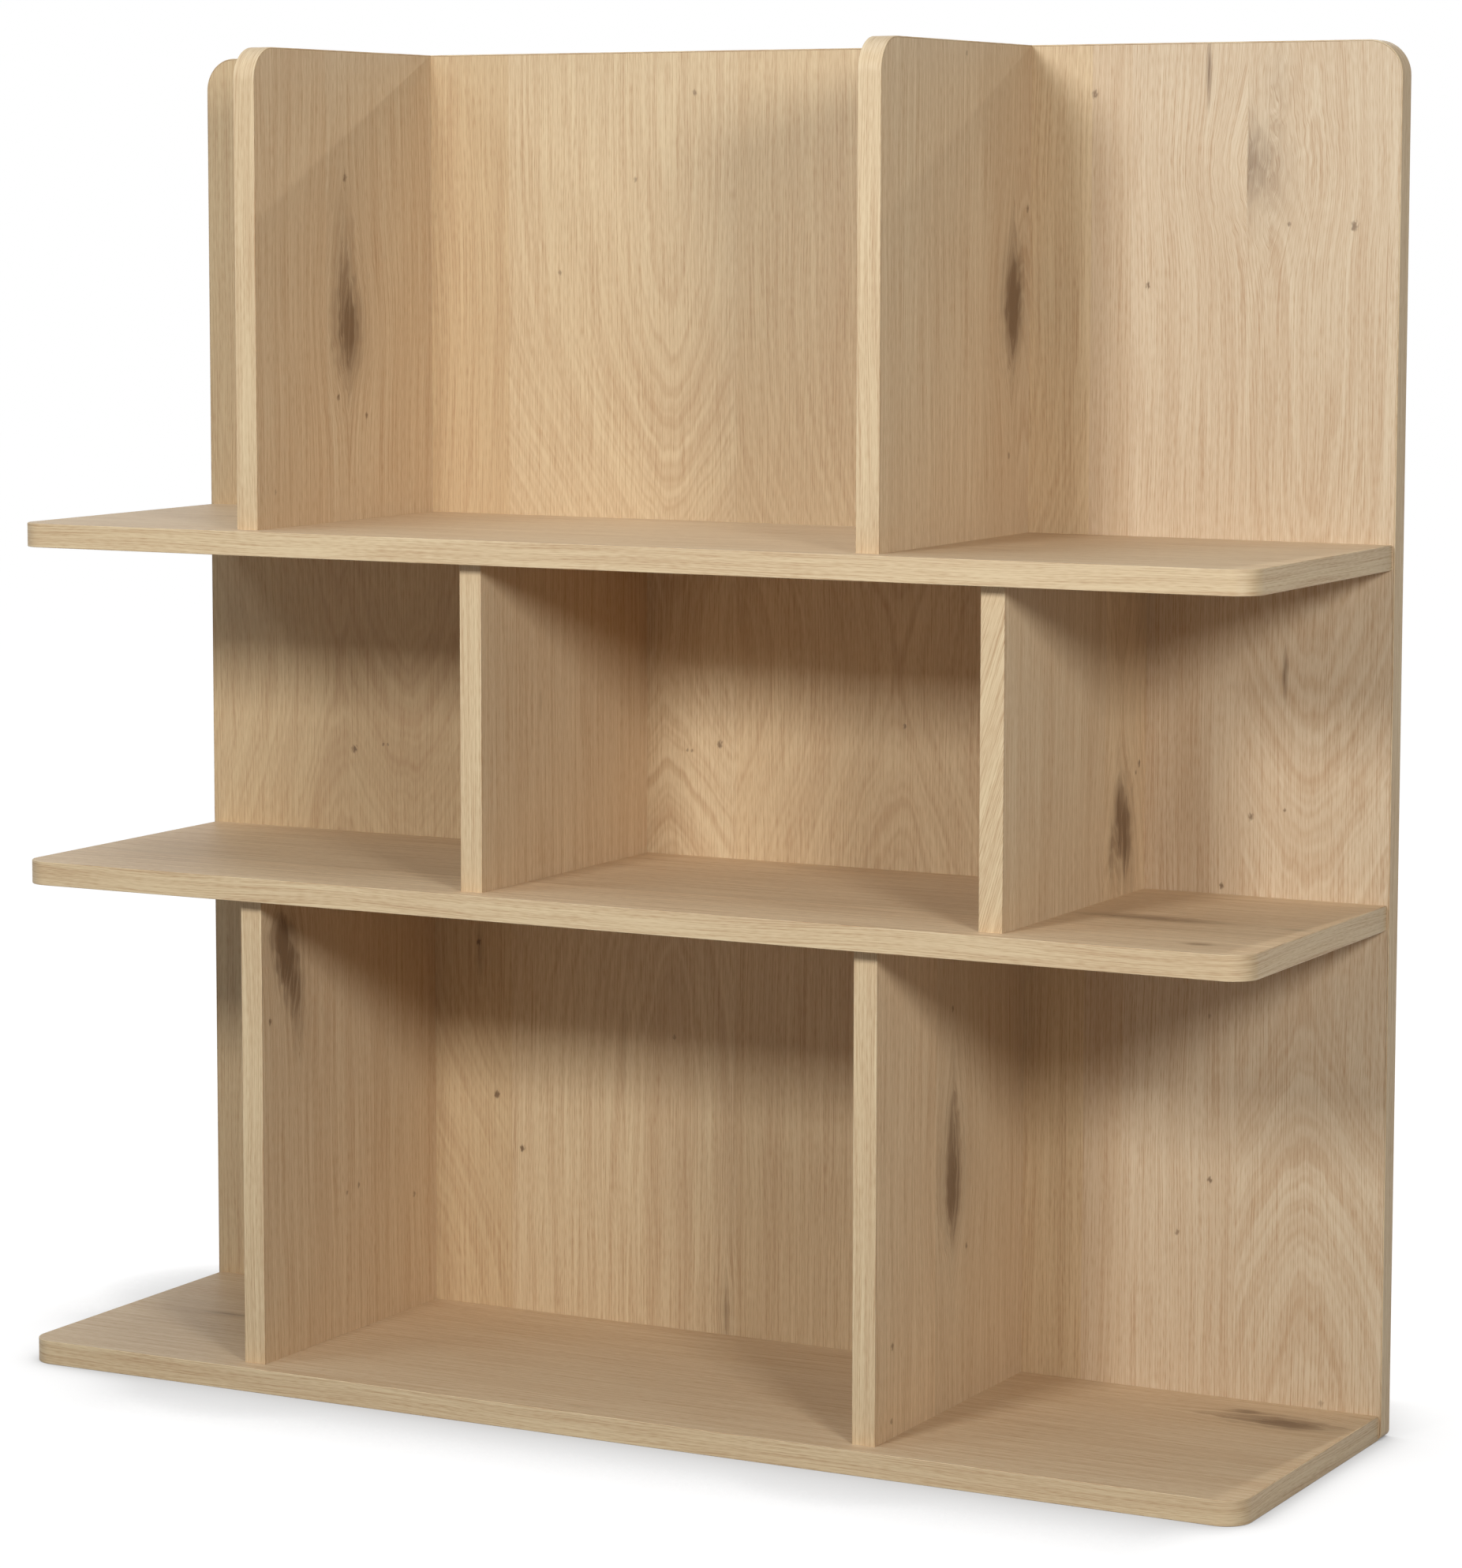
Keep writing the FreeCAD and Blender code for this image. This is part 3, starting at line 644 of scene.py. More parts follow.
def make_banding_tree():
    """Sweeps the strip's section along a path that is drawn flat, then stands it up in its place."""
    inputs = (("Path", "Geometry"), ("Thickness", "Float"), ("Width", "Float"), ("Arris", "Float"),
              ("Slope", "Float"), ("Turn", "Rotation"), ("Place", "Vector"), ("Seed", "Float"),
              ("Material", "Material"))
    tree, fields, result = new_tree("oak_banding", inputs, "Strip")
    path, thickness, width, arris, slope, turn, place, seed, material = fields
    section = put(tree, "GeometryNodeCurvePrimitiveQuadrilateral", {"Width": thickness, "Height": width})[0]
    position = put(tree, "GeometryNodeInputPosition", {})[0]
    x, y, z = put(tree, "ShaderNodeSeparateXYZ", {"Vector": position})
    outside = math_node("GREATER_THAN", x, 0.0)
    sockets = {"Curve": section, "Count": ARRIS_STEPS, "Radius": outside * arris}
    eased = put(tree, "GeometryNodeFilletCurve", sockets, mode="POLY")[0]

    upright = put(tree, "GeometryNodeSetCurveNormal", {"Curve": path}, mode="Z_UP")[0]
    length = put(tree, "GeometryNodeSplineParameter", {})[0].socket.node.outputs["Length"]
    keep = tree.nodes.new("GeometryNodeCaptureAttribute")
    keep.domain = "POINT"
    keep.capture_items.new("FLOAT", "Run")
    feed(upright, keep.inputs["Geometry"])
    feed(Field(length), keep.inputs["Run"])
    line, run = [Field(keep.outputs[label]) for label in ("Geometry", "Run")]
    sockets = {"Curve": line, "Profile Curve": eased, "Fill Caps": True}
    swept = put(tree, "GeometryNodeCurveToMesh", sockets)[0]

    grain = put(tree, "ShaderNodeCombineXYZ", {"X": run, "Y": z + run * slope, "Z": seed})[0]
    sockets = {"Geometry": swept, "Name": "grain", "Value": grain}
    settings = {"data_type": "FLOAT_VECTOR", "domain": "POINT"}
    marked = put(tree, "GeometryNodeStoreNamedAttribute", sockets, **settings)[0]
    smooth = put(tree, "GeometryNodeSetShadeSmooth", {"Geometry": marked})[0]
    sockets = {"Geometry": smooth, "Rotation": turn, "Translation": place}
    stood = put(tree, "GeometryNodeTransform", sockets)[0]
    end_tree(stood, material, result)
    return tree


def oak_banding():
    """Oak strip: the grain follows the run along the edge, which the strip's mesh carries as its grain."""
    material, tree = new_material("oak_edging")
    carried = tree.nodes.new("ShaderNodeAttribute")
    carried.attribute_name = "grain"
    run, across, seed = put(tree, "ShaderNodeSeparateXYZ", {"Vector": Field(carried.outputs["Vector"])})
    oak_shader(material, {"Along": run / MM, "Across": across / MM, "Seed": seed}, STRIP_COLOUR)
    return material


def add_banding(node, corners, width, turn, place, seed, slope=0.0):
    """The edging of a board: its strip along the path of the board's edge, in place of the node.

    With a slope, the strip's grain runs out at a slant.
    """
    path = bpy.data.curves.new(node, "CURVE")
    path.dimensions = "3D"
    spline = path.splines.new("POLY")
    points = rounded_outline(corners)
    spline.points.add(len(points) - 1)
    for point, (u, v) in zip(spline.points, points):
        point.co = (u, v, 0, 1)
    line = new_piece(f"{node}_path", path, None)
    values = {"Thickness": BANDING, "Width": width, "Arris": ARRIS_RADIUS, "Slope": slope,
              "Turn": turn, "Place": place, "Seed": seed, "Material": banding_oak}
    mesh = run_tree(f"{node}_strip", line, banding_tree, values)
    strip = new_piece(f"{node}_strip", mesh, banding_oak)
    flat_sides = strip.modifiers.new("flat_sides", "WEIGHTED_NORMAL")
    flat_sides.weight = FLAT_SIDES_WEIGHT
    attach(strip, "root")
    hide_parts(node)
    return strip


banding_tree = make_banding_tree()
banding_oak = oak_banding()
HALF = BANDING / 2
panel_path = (
    (0, rim_low.z + HALF, 0),
    (rim_high.x - HALF, rim_low.z + HALF, PANEL_FOOT_RADIUS - HALF),
    (rim_high.x - HALF, rim_high.z - HALF, PANEL_TOP_RADIUS - HALF),
    (rim_low.x + HALF, rim_high.z - HALF, PANEL_TOP_RADIUS - HALF),
    (rim_low.x + HALF, rim_low.z + HALF, PANEL_FOOT_RADIUS - HALF),
    (0, rim_low.z + HALF, 0),
)
STAND_UP = (math.radians(90), 0, 0)
PANEL_STRIP_SEED = 40.0
panel_middle = (panel_low.y + panel_high.y) / 2
add_banding("back_panel_edging", panel_path, BOARD, STAND_UP, (0, panel_middle, 0), PANEL_STRIP_SEED)


# Shelves: three equal boards of 18 mm, veneered with the grain along their length. The lowest lies on the
# floor as the base. They butt against the panel's front face, held by screws from behind, and their
# two front corners are rounded. Dowel holes take the dividers above and below.
SHELF_RADIUS = 20 * MM
SHELF_SEEDS = {"bottom": 61.0, "middle": 67.0, "top": 73.0}
# Leaf colours are the veneer's own tones, but the middle shelf's are paler than the others', its front leaf
# most: partly painted light, standing in for more light from the left on that shelf
SHELF_LEAVES = {
    "bottom": (Leaf(-142, (0.655, 0.482, 0.297)), Leaf(40, (0.643, 0.468, 0.283))),
    "middle": (Leaf(-142, (0.775, 0.568, 0.348)), Leaf(-60, (0.707, 0.517, 0.315))),
    "top": (Leaf(-142, (0.655, 0.484, 0.301)), Leaf(20, (0.647, 0.476, 0.294))),
}
SHELF_KNOTS = {
    "bottom": (
        Knot(436, 76, 60, 19, 0.62), Knot(452, 70, 26, 10, 0.60), Knot(408, 93, 13, 5, 0.60),
        Knot(-405, 0, 30, 6, 0.55), Knot(-22, -124, 16, 2.5, 0.35),
    ),
    "middle": (Knot(374, -10, 62, 13, 0.75), Knot(448, -106, 13, 6, 0.65), Knot(484, -15, 16, 5, 0.50)),
    "top": (Knot(-401, 1, 18, 2.5, 0.45), Knot(60, -20, 70, 5, 0.15)),
}
DOWEL = 8 * MM
DOWEL_LENGTH = 30 * MM
DOWEL_IN_SHELF = 11 * MM
DOWEL_PLAY = 0.05 * MM
DOWEL_END_PLAY = 0.5 * MM
DOWEL_FRONT_MARGIN = 40 * MM
DOWEL_REAR_MARGIN = 60 * MM
BASE_SCREW_OFFSET = 40 * MM
SCREW_LENGTH = 50 * MM
SCREW_CORE = 5 * MM
PILOT_END_PLAY = 2 * MM
DOWEL_BORE = DOWEL + DOWEL_PLAY * 2
SHELF_BORE_DEPTH = DOWEL_IN_SHELF + DOWEL_END_PLAY
PILOT_BORE = SCREW_CORE + SCREW_PLAY * 2
PILOT_DEPTH = SCREW_LENGTH + SCREW_SINK - BOARD + PILOT_END_PLAY
UP = (0, 0, 0)
DOWN = (math.radians(180), 0, 0)


def in_shelf(x, y, z):
    """A shelf's plane is X and Y, and its thickness runs along Z."""
    return Vector((x, y, z))


def dowel_spots(node):
    """Where a divider's dowels stand, as x and y: the same two places at its foot and its head."""
    low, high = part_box(node)
    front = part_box(f"{node}_edging")[0].y
    x = (low.x + high.x) / 2
    return [(x, front + DOWEL_FRONT_MARGIN), (x, high.y - DOWEL_REAR_MARGIN)]


def base_screw_spots(node):
    """Where the base screws of a bottom divider stand: between its dowels, as x and y."""
    (x, front), (x, rear) = dowel_spots(node)
    return [(x, front + BASE_SCREW_OFFSET), (x, rear - BASE_SCREW_OFFSET)]


below = None
for level in LEVELS:
    low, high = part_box(f"{level}_shelf")
    rim_low, rim_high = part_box(f"{level}_shelf_edging")
    corners = (
        (low.x, high.y, 0),
        (low.x, low.y, SHELF_RADIUS - BANDING),
        (high.x, low.y, SHELF_RADIUS - BANDING),
        (high.x, high.y, 0),
    )
    oak = oak_veneer(f"oak_veneer_{level}_shelf", "XYZ", (low, high), True, SHELF_SEEDS[level],
                     SHELF_LEAVES[level], SHELF_KNOTS[level])
    mesh = board_mesh(f"{level}_shelf_board", corners, low.z, high.z, in_shelf)
    marks = [in_shelf(x, y, high.z) for node in DIVIDERS[level] for x, y in dowel_spots(node)]
    mesh = drill(mesh, oak, marks, DOWN, DOWEL_BORE, SHELF_BORE_DEPTH)
    if below is None:
        marks = [in_shelf(x, y, low.z) for node in DIVIDERS[level] for x, y in base_screw_spots(node)]
        mesh = drill(mesh, oak, marks, UP, NECK_BORE, BOARD + BIT_START, FLARE)
    else:
        marks = [in_shelf(x, y, low.z) for node in DIVIDERS[below] for x, y in dowel_spots(node)]
        mesh = drill(mesh, oak, marks, UP, DOWEL_BORE, SHELF_BORE_DEPTH)
    marks = [in_shelf(x, high.y, z) for x, z in shelf_screw_spots if low.z < z < high.z]
    mesh = drill(mesh, oak, marks, FORWARD, PILOT_BORE, PILOT_DEPTH)
    below = level
    shelf = new_piece(f"{level}_shelf_board", mesh, oak)
    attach(shelf, "root")
    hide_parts(f"{level}_shelf")
    path = (
        (rim_low.x + HALF, rim_high.y, 0),
        (rim_low.x + HALF, rim_low.y + HALF, SHELF_RADIUS - HALF),
        (rim_high.x - HALF, rim_low.y + HALF, SHELF_RADIUS - HALF),
        (rim_high.x - HALF, rim_high.y, 0),
    )
    add_banding(f"{level}_shelf_edging", path, high.z - low.z, UP, (0, 0, (low.z + high.z) / 2),
                SHELF_SEEDS[level] + 1)


# Dividers: six upright boards of 18 mm between and on the shelves, veneered with the grain upright.
# They are set back from the shelves' front edge. The two on the top shelf end free, with a rounded
# upper corner. Dowels hold them in the shelves, and screws come from behind and from below.
DIVIDER_RADIUS = 25 * MM
LIE_ALONG = (math.radians(90), 0, math.radians(90))
DIVIDER_BORE_DEPTH = DOWEL_LENGTH - DOWEL_IN_SHELF + DOWEL_END_PLAY
DIVIDER_SEEDS = {
    "bottom_divider_left": 101.0, "bottom_divider_right": 107.0, "middle_divider_left": 113.0,
    "middle_divider_right": 127.0, "top_divider_left": 131.0, "top_divider_right": 137.0,
}
DIVIDER_LEAVES = {
    "bottom_divider_left": (Leaf(-126, (0.676, 0.495, 0.301)), Leaf(30, (0.661, 0.484, 0.292))),
    "bottom_divider_right": (Leaf(-126, (0.712, 0.508, 0.303)), Leaf(-28, (0.661, 0.482, 0.292))),
    "middle_divider_left": (Leaf(-126, (0.672, 0.491, 0.297)), Leaf(60, (0.664, 0.484, 0.292))),
    "middle_divider_right": (Leaf(-126, (0.676, 0.497, 0.304)), Leaf(49, (0.714, 0.521, 0.311))),
    "top_divider_left": (Leaf(-126, (0.676, 0.497, 0.304)), Leaf(-29, (0.692, 0.526, 0.331))),
    "top_divider_right": (Leaf(-126, (0.712, 0.528, 0.325)), Leaf(40, (0.661, 0.484, 0.294))),
}
DIVIDER_KNOTS = {
    "bottom_divider_left": (
        Knot(342, -100, 17, 15, 0.85), Knot(322, -94, 22, 13, 0.80), Knot(303, -83, 28, 12, 0.60),
        Knot(274, -75, 38, 10, 0.40),
    ),
    "bottom_divider_right": (
        Knot(186, 0, 62, 24, 0.50), Knot(178, 2, 34, 12, 0.55), Knot(232, 2, 46, 13, 0.30),
    ),
    "middle_divider_left": (Knot(520, -40, 14, 2.5, 0.35),),
    "middle_divider_right": (
        Knot(440, 80, 44, 22, 0.45, 49), Knot(452, 75, 28, 9, 0.55, 49), Knot(430, 88, 30, 9, 0.70, 49),
        Knot(420, 62, 26, 5, 0.35, 49), Knot(396, 100, 30, 6, 0.25, 49),
    ),
    "top_divider_left": (
        Knot(790, 1, 52, 24, 0.62), Knot(790, 5, 30, 10, 0.36), Knot(848, -6, 60, 18, 0.30),
    ),
    "top_divider_right": (Knot(819, 94, 62, 20, 0.60), Knot(811, 95, 34, 13, 0.85)),
}
DIVIDER_PINS = {
    "bottom_divider_left": (
        Pin(277, -115, 2.0, 0.8), Pin(131, 8, 1.8, 0.8), Pin(128, -9, 1.5, 0.7), Pin(109, 90, 2.0, 0.7),
    ),
    "bottom_divider_right": (
        Pin(311, -1, 1.9, 0.7), Pin(84, -98, 2.2, 0.8), Pin(30, -99, 1.9, 0.7), Pin(133, 25, 1.7, 0.8),
    ),
    "middle_divider_right": (Pin(482, 112, 2.2, 0.8), Pin(476, 106, 1.4, 0.7)),
    "top_divider_left": (
        Pin(905, -2, 2.4, 0.7), Pin(740, -13, 1.9, 0.7), Pin(725, 27, 1.9, 0.7), Pin(673, -101, 1.7, 0.6),
    ),
    "top_divider_right": (Pin(882, 119, 2.2, 0.7), Pin(704, 89, 2.0, 0.6), Pin(991, 12, 1.8, 0.6)),
}
DIVIDER_FIGURES = {
    "middle_divider_right": (Figure(520, 74, 150, 12, 50, 49, 124),),
    "top_divider_right": (Figure(960, 117, 200, 6, 100, 103, 124),),
}
STRIP_SLOPES = {"middle_divider_right": 0.28}


def in_divider(y, z, x):
    """A divider's plane is Y and Z, and its thickness runs along X."""
    return Vector((x, y, z))


for level in LEVELS:
    for node in DIVIDERS[level]:
        low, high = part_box(node)
        rim_low, rim_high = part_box(f"{node}_edging")
        ends_free = level == "top"
        radius = DIVIDER_RADIUS if ends_free else 0
        seed = DIVIDER_SEEDS[node]
        corners = (
            (low.y, low.z, 0),
            (high.y, low.z, 0),
            (high.y, high.z, 0),
            (low.y, high.z, max(radius - BANDING, 0)),
        )
        oak = oak_veneer(f"oak_veneer_{node}", "ZYX", (low, high), True, seed, DIVIDER_LEAVES[node],
                         DIVIDER_KNOTS[node], DIVIDER_PINS.get(node, ()), DIVIDER_FIGURES.get(node, ()))
        mesh = board_mesh(f"{node}_board", corners, low.x, high.x, in_divider)
        feet = [Vector((x, y, low.z)) for x, y in dowel_spots(node)]
        mesh = drill(mesh, oak, feet, UP, DOWEL_BORE, DIVIDER_BORE_DEPTH)
        if not ends_free:
            heads = [Vector((x, y, high.z)) for x, y in dowel_spots(node)]
            mesh = drill(mesh, oak, heads, DOWN, DOWEL_BORE, DIVIDER_BORE_DEPTH)
        if level == "bottom":
            soles = [Vector((x, y, low.z)) for x, y in base_screw_spots(node)]
            mesh = drill(mesh, oak, soles, UP, PILOT_BORE, PILOT_DEPTH)
        behind = [(x, z) for x, z in divider_screw_spots if low.x < x < high.x and low.z < z < high.z]
        rear = [Vector((x, high.y, z)) for x, z in behind]
        mesh = drill(mesh, oak, rear, FORWARD, PILOT_BORE, PILOT_DEPTH)
        divider = new_piece(f"{node}_board", mesh, oak)
        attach(divider, "root")
        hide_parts(node)
        front_path = [(rim_low.y + HALF, rim_high.z, 0), (rim_low.y + HALF, rim_low.z, 0)]
        if ends_free:
            front_path[0] = (rim_low.y + HALF, rim_high.z - HALF, radius - HALF)
            front_path.insert(0, (rim_high.y, rim_high.z - HALF, 0))
        middle = ((low.x + high.x) / 2, 0, 0)
        add_banding(f"{node}_edging", front_path, high.x - low.x, LIE_ALONG, middle, seed + 1,
                    slope=STRIP_SLOPES.get(node, 0.0))


# Dowels: fluted beech pins of 8 by 30 mm with bevelled ends, glued upright between shelf and divider.
# Each divider stands on two of them, and a shelf lies on two more at the head of each divider below it.
DOWEL_BEVEL = 1 * MM
FLUTES = 20
FLUTE_DEPTH = 0.25 * MM
BEECH_PALE = (0.620, 0.455, 0.300, 1)
BEECH_DARK = (0.560, 0.395, 0.255, 1)
BEECH_FLECK = (0.330, 0.200, 0.115, 1)
BEECH_BAND_PATCH = (40, 2.0)
BEECH_FLECK_PATCH = (2.2, 0.30)


def make_dowel_tree():
    """Turns one dowel, flutes it, and stands it at each place."""
    inputs = (("Places", "Geometry"), ("Diameter", "Float"), ("Length", "Float"), ("Bevel", "Float"),
              ("Flute depth", "Float"), ("Material", "Material"))
    tree, fields, result = new_tree("fluted_dowels", inputs, "Dowels")
    places, diameter, length, bevel, flute_depth, material = fields
    segments = round(DOWEL_LENGTH / DOWEL_BEVEL)
    sockets = {"Vertices": FLUTES * 2, "Side Segments": segments, "Radius": 1.0, "Depth": length}
    rod = put(tree, "GeometryNodeMeshCylinder", sockets)[0]

    def dowel_shape(angle, z):
        from_end = length / 2 - math_node("ABSOLUTE", z)
        body = math_node("MINIMUM", diameter / 2, diameter / 2 - bevel + from_end)
        flute = math_node("COSINE", angle * FLUTES) * 0.5 + 0.5
        return z, body - flute * flute_depth

    dowel = turned_shape(rod, dowel_shape)
    group = put(tree, "GeometryNodeInstanceOnPoints", {"Points": places, "Instance": dowel})[0]
    end_tree(group, material, result)
    return tree


def beech():
    """Beech: pale pinkish brown, with short dark flecks along the grain."""
    material, tree = new_material("beech_dowel")
    x, y, z = place_on_object(tree)
    flecks = cloud(z, x + y, BEECH_FLECK_PATCH, 5.0)
    bands = cloud(z, x + y, BEECH_BAND_PATCH, 9.0)
    colour = tint(fade(bands, -0.3, 0.3), BEECH_PALE, BEECH_DARK)
    colour = tint(fade(flecks, 0.08, 0.22) * 0.6, colour, BEECH_FLECK)
    surface = tree.nodes["Principled BSDF"]
    feed(colour, surface.inputs["Base Color"])
    feed(flecks * 0.2 + 0.6, surface.inputs["Roughness"])
    return material


def add_fasteners(node, places, tree, values):
    """A group of like fasteners: one at each place, in place of the node."""
    marks = bpy.data.meshes.new(f"{node}_places")
    marks.from_pydata(places, [], [])
    mesh = run_tree(f"{node}_group", new_piece(f"{node}_places", marks, None), tree, values)
    group = new_piece(f"{node}_group", mesh, values["Material"])
    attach(group, "root")
    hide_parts(node)
    return group


dowel_tree = make_dowel_tree()
dowel_values = {"Diameter": DOWEL, "Length": DOWEL_LENGTH, "Bevel": DOWEL_BEVEL,
                "Flute depth": FLUTE_DEPTH, "Material": beech()}
for level in LEVELS:
    places = []
    for node in DIVIDERS[level]:
        low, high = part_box(node)
        for x, y in dowel_spots(node):
            places.append((x, y, low.z - DOWEL_IN_SHELF + DOWEL_LENGTH / 2))
            if level != "top":
                places.append((x, y, high.z + DOWEL_IN_SHELF - DOWEL_LENGTH / 2))
    add_fasteners(f"{level}_dowels", places, dowel_tree, dowel_values)


# Screws: zinc-plated connector screws of 7 by 50 mm with a countersunk head, a hexagon socket, a smooth
# neck and a coarse thread. They come through the panel from behind into the shelves and dividers, and
# through the base from below into the bottom dividers.
SCREW_NECK_LENGTH = 12 * MM
SCREW_POINT = 3 * MM
SCREW_SOCKET = 4 * MM
SCREW_SOCKET_DEPTH = 3 * MM
SOCKET_SIDES = 6
THREAD_PITCH = 3 * MM
THREAD_SHARPNESS = 1.8
TIP_SHARE = 0.05
SCREW_SIDES = 32
SCREW_STEP = 0.5 * MM
ZINC_DARK = (0.500, 0.520, 0.545, 1)
ZINC_PALE = (0.690, 0.695, 0.690, 1)
ZINC_PATCH = 1.6


def make_screw_tree():
    """Turns one screw, cuts its thread and socket, and sets it at each place."""
    inputs = (("Places", "Geometry"), ("Turn", "Rotation"), ("Head", "Float"), ("Neck", "Float"),
              ("Neck length", "Float"), ("Core", "Float"), ("Length", "Float"), ("Point", "Float"),
              ("Pitch", "Float"), ("Socket", "Float"), ("Socket depth", "Float"), ("Material", "Material"))
    tree, fields, result = new_tree("connector_screws", inputs, "Screws")
    places, turn, head, neck, neck_length, core, length, point = fields[:8]
    pitch, socket, socket_depth, material = fields[8:]
    segments = round(SCREW_LENGTH / SCREW_STEP)
    sockets = {"Vertices": SCREW_SIDES, "Side Segments": segments, "Radius": 1.0, "Depth": length}
    rod = put(tree, "GeometryNodeMeshCylinder", sockets)[0]

    def screw_shape(angle, z):
        level = z + length / 2
        smooth = math_node("MAXIMUM", neck / 2, head / 2 - level)
        neck_end = (head - neck) / 2 + neck_length
        threaded = math_node("GREATER_THAN", level, neck_end + SCREW_STEP / 2)
        rise = math_node("FRACT", level / pitch - angle / math.tau)
        crest = 1 - math_node("ABSOLUTE", rise * 2 - 1)
        ridge = math_node("MAXIMUM", crest * THREAD_SHARPNESS - (THREAD_SHARPNESS - 1), 0.0)
        thread = core / 2 + ridge * (neck - core) / 2
        taper = math_node("MINIMUM", (length - level) / point + TIP_SHARE, 1.0)
        return level, (smooth + threaded * (thread - smooth)) * taper

    turned = turned_shape(rod, screw_shape)
    sockets = {"Vertices": SOCKET_SIDES, "Radius": socket / math.sqrt(3), "Depth": socket_depth * 2}
    key = put(tree, "GeometryNodeMeshCylinder", sockets)[0]
    sockets = {"Mesh 1": turned, "Mesh 2": key}
    cut = put(tree, "GeometryNodeMeshBoolean", sockets, operation="DIFFERENCE")[0]
    sockets = {"Points": places, "Instance": cut, "Rotation": turn}
    group = put(tree, "GeometryNodeInstanceOnPoints", sockets)[0]
    end_tree(group, material, result)
    return tree


def zinc():
    """Zinc plating: bluish grey metal, slightly blotched."""
    material, tree = new_material("zinc_screw")
    x, y, z = place_on_object(tree)
    blotch = cloud(x, z, (ZINC_PATCH, ZINC_PATCH), y / ZINC_PATCH, detail=2)
    surface = tree.nodes["Principled BSDF"]
    surface.inputs["Metallic"].default_value = 1
    colour = tint(fade(blotch, -0.25, 0.25), ZINC_DARK, ZINC_PALE)
    feed(colour, surface.inputs["Base Color"])
    feed(blotch * 0.3 + 0.38, surface.inputs["Roughness"])
    return material


screw_tree = make_screw_tree()
screw_values = {"Head": SCREW_HEAD, "Neck": SCREW_NECK, "Neck length": SCREW_NECK_LENGTH,
                "Core": SCREW_CORE, "Length": SCREW_LENGTH, "Point": SCREW_POINT, "Pitch": THREAD_PITCH,
                "Socket": SCREW_SOCKET, "Socket depth": SCREW_SOCKET_DEPTH, "Material": zinc()}
head_y = panel_high.y - SCREW_SINK
head_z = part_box("bottom_shelf")[0].z + SCREW_SINK
base_places = [(x, y, head_z) for node in DIVIDERS["bottom"] for x, y in base_screw_spots(node)]
for node, places, turn in (
    ("shelf_screws", [(x, head_y, z) for x, z in shelf_screw_spots], FORWARD),
    ("divider_screws", [(x, head_y, z) for x, z in divider_screw_spots], FORWARD),
    ("base_screws", base_places, UP),
):
    add_fasteners(node, places, screw_tree, screw_values | {"Turn": turn})


# Floor and backdrop: a plain white studio ground. It is white to the camera and in reflections. The soft
# shadow close round the foot of the bookcase is painted shadow: the floor's glow is darkened by ambient
# occlusion, broad in front and, by place, narrow at the open ends. The lamps' own shadows add only a little
# to it.
FLOOR_SIZE = 24.0
FLOOR_SHADE = (0.115, 0.10, 0.088, 1)
FLOOR_BOUNCE = (0.35, 0.35, 0.35, 1)
NEAR_GLOW = 0.95
# From where to where the floor's light and shadow change, in millimetres from the middle
FAR_FADE = (750, 1500)
RIGHT_END_FADE = (440, 530)
LEFT_END_FADE = (360, 500)
LEFT_FRONT_FADE = (-20, 120)
SHADOW_REACH = 105 * MM
SHADOW_RAYS = 40
FRONT_DEPTH = 0.485
FRONT_CURVE = 0.25
END_DEPTH = 1.0
END_CURVE = 1.3
FILL_LEVEL = 0.008
floor_mesh = bpy.data.meshes.new("floor")
half_floor = FLOOR_SIZE / 2
floor_corners = [(-half_floor, -half_floor, 0), (half_floor, -half_floor, 0),
                 (half_floor, half_floor, 0), (-half_floor, half_floor, 0)]
floor_mesh.from_pydata(floor_corners, [], [(0, 1, 2, 3)])
floor_white, floor_tree = new_material("floor_white")
floor_tree.nodes.remove(floor_tree.nodes["Principled BSDF"])
floor_output = floor_tree.nodes["Material Output"]


def seen_directly(tree):
    """1 for what the camera or a reflection sees, 0 for light that is scattered."""
    rays = tree.nodes.new("ShaderNodeLightPath")
    labels = ("Is Camera Ray", "Is Glossy Ray", "Is Transmission Ray")
    by_camera, by_gloss, by_glass = [Field(rays.outputs[label]) for label in labels]
    return math_node("MAXIMUM", math_node("MAXIMUM", by_camera, by_gloss), by_glass)


x, y, z = place_on_object(floor_tree)
far_off = fade(math_node("SQRT", x * x + y * y), *FAR_FADE)
right_end = fade(x, *RIGHT_END_FADE)
left_end = fade(x * -1, *LEFT_END_FADE) * fade(y * -1, *LEFT_FRONT_FADE)
open_end = right_end + left_end
# Painted shadow: the floor's glow is darkened where ambient occlusion finds the bookcase near, more steeply
# at the ends
nearby = {"Distance": SHADOW_REACH}
clear_sky = put(floor_tree, "ShaderNodeAmbientOcclusion", nearby, samples=SHADOW_RAYS)[1]
covered = math_node("POWER", 1 - clear_sky, open_end * (END_CURVE - FRONT_CURVE) + FRONT_CURVE)
painted_shadow = covered * (open_end * (END_DEPTH - FRONT_DEPTH) + FRONT_DEPTH)
brightness = far_off * (1 - NEAR_GLOW) + NEAR_GLOW - painted_shadow
glow = put(floor_tree, "ShaderNodeEmission", {"Strength": brightness})[0]
shaded = put(floor_tree, "ShaderNodeBsdfDiffuse", {"Color": FLOOR_SHADE})[0]
lit = put(floor_tree, "ShaderNodeAddShader", {0: shaded, 1: glow})[0]
bounce = put(floor_tree, "ShaderNodeBsdfDiffuse", {"Color": FLOOR_BOUNCE})[0]
ground = put(floor_tree, "ShaderNodeMixShader", {"Fac": seen_directly(floor_tree), 1: bounce, 2: lit})[0]
feed(ground, floor_output.inputs["Surface"])
floor = new_piece("floor", floor_mesh, floor_white)

world = bpy.data.worlds.new("studio")
bpy.context.scene.world = world
world.use_nodes = True
world_tree = world.node_tree
backdrop = world_tree.nodes["Background"]
backdrop.inputs["Color"].default_value = (1, 1, 1, 1)
feed(seen_directly(world_tree) * (1 - FILL_LEVEL) + FILL_LEVEL, backdrop.inputs["Strength"])


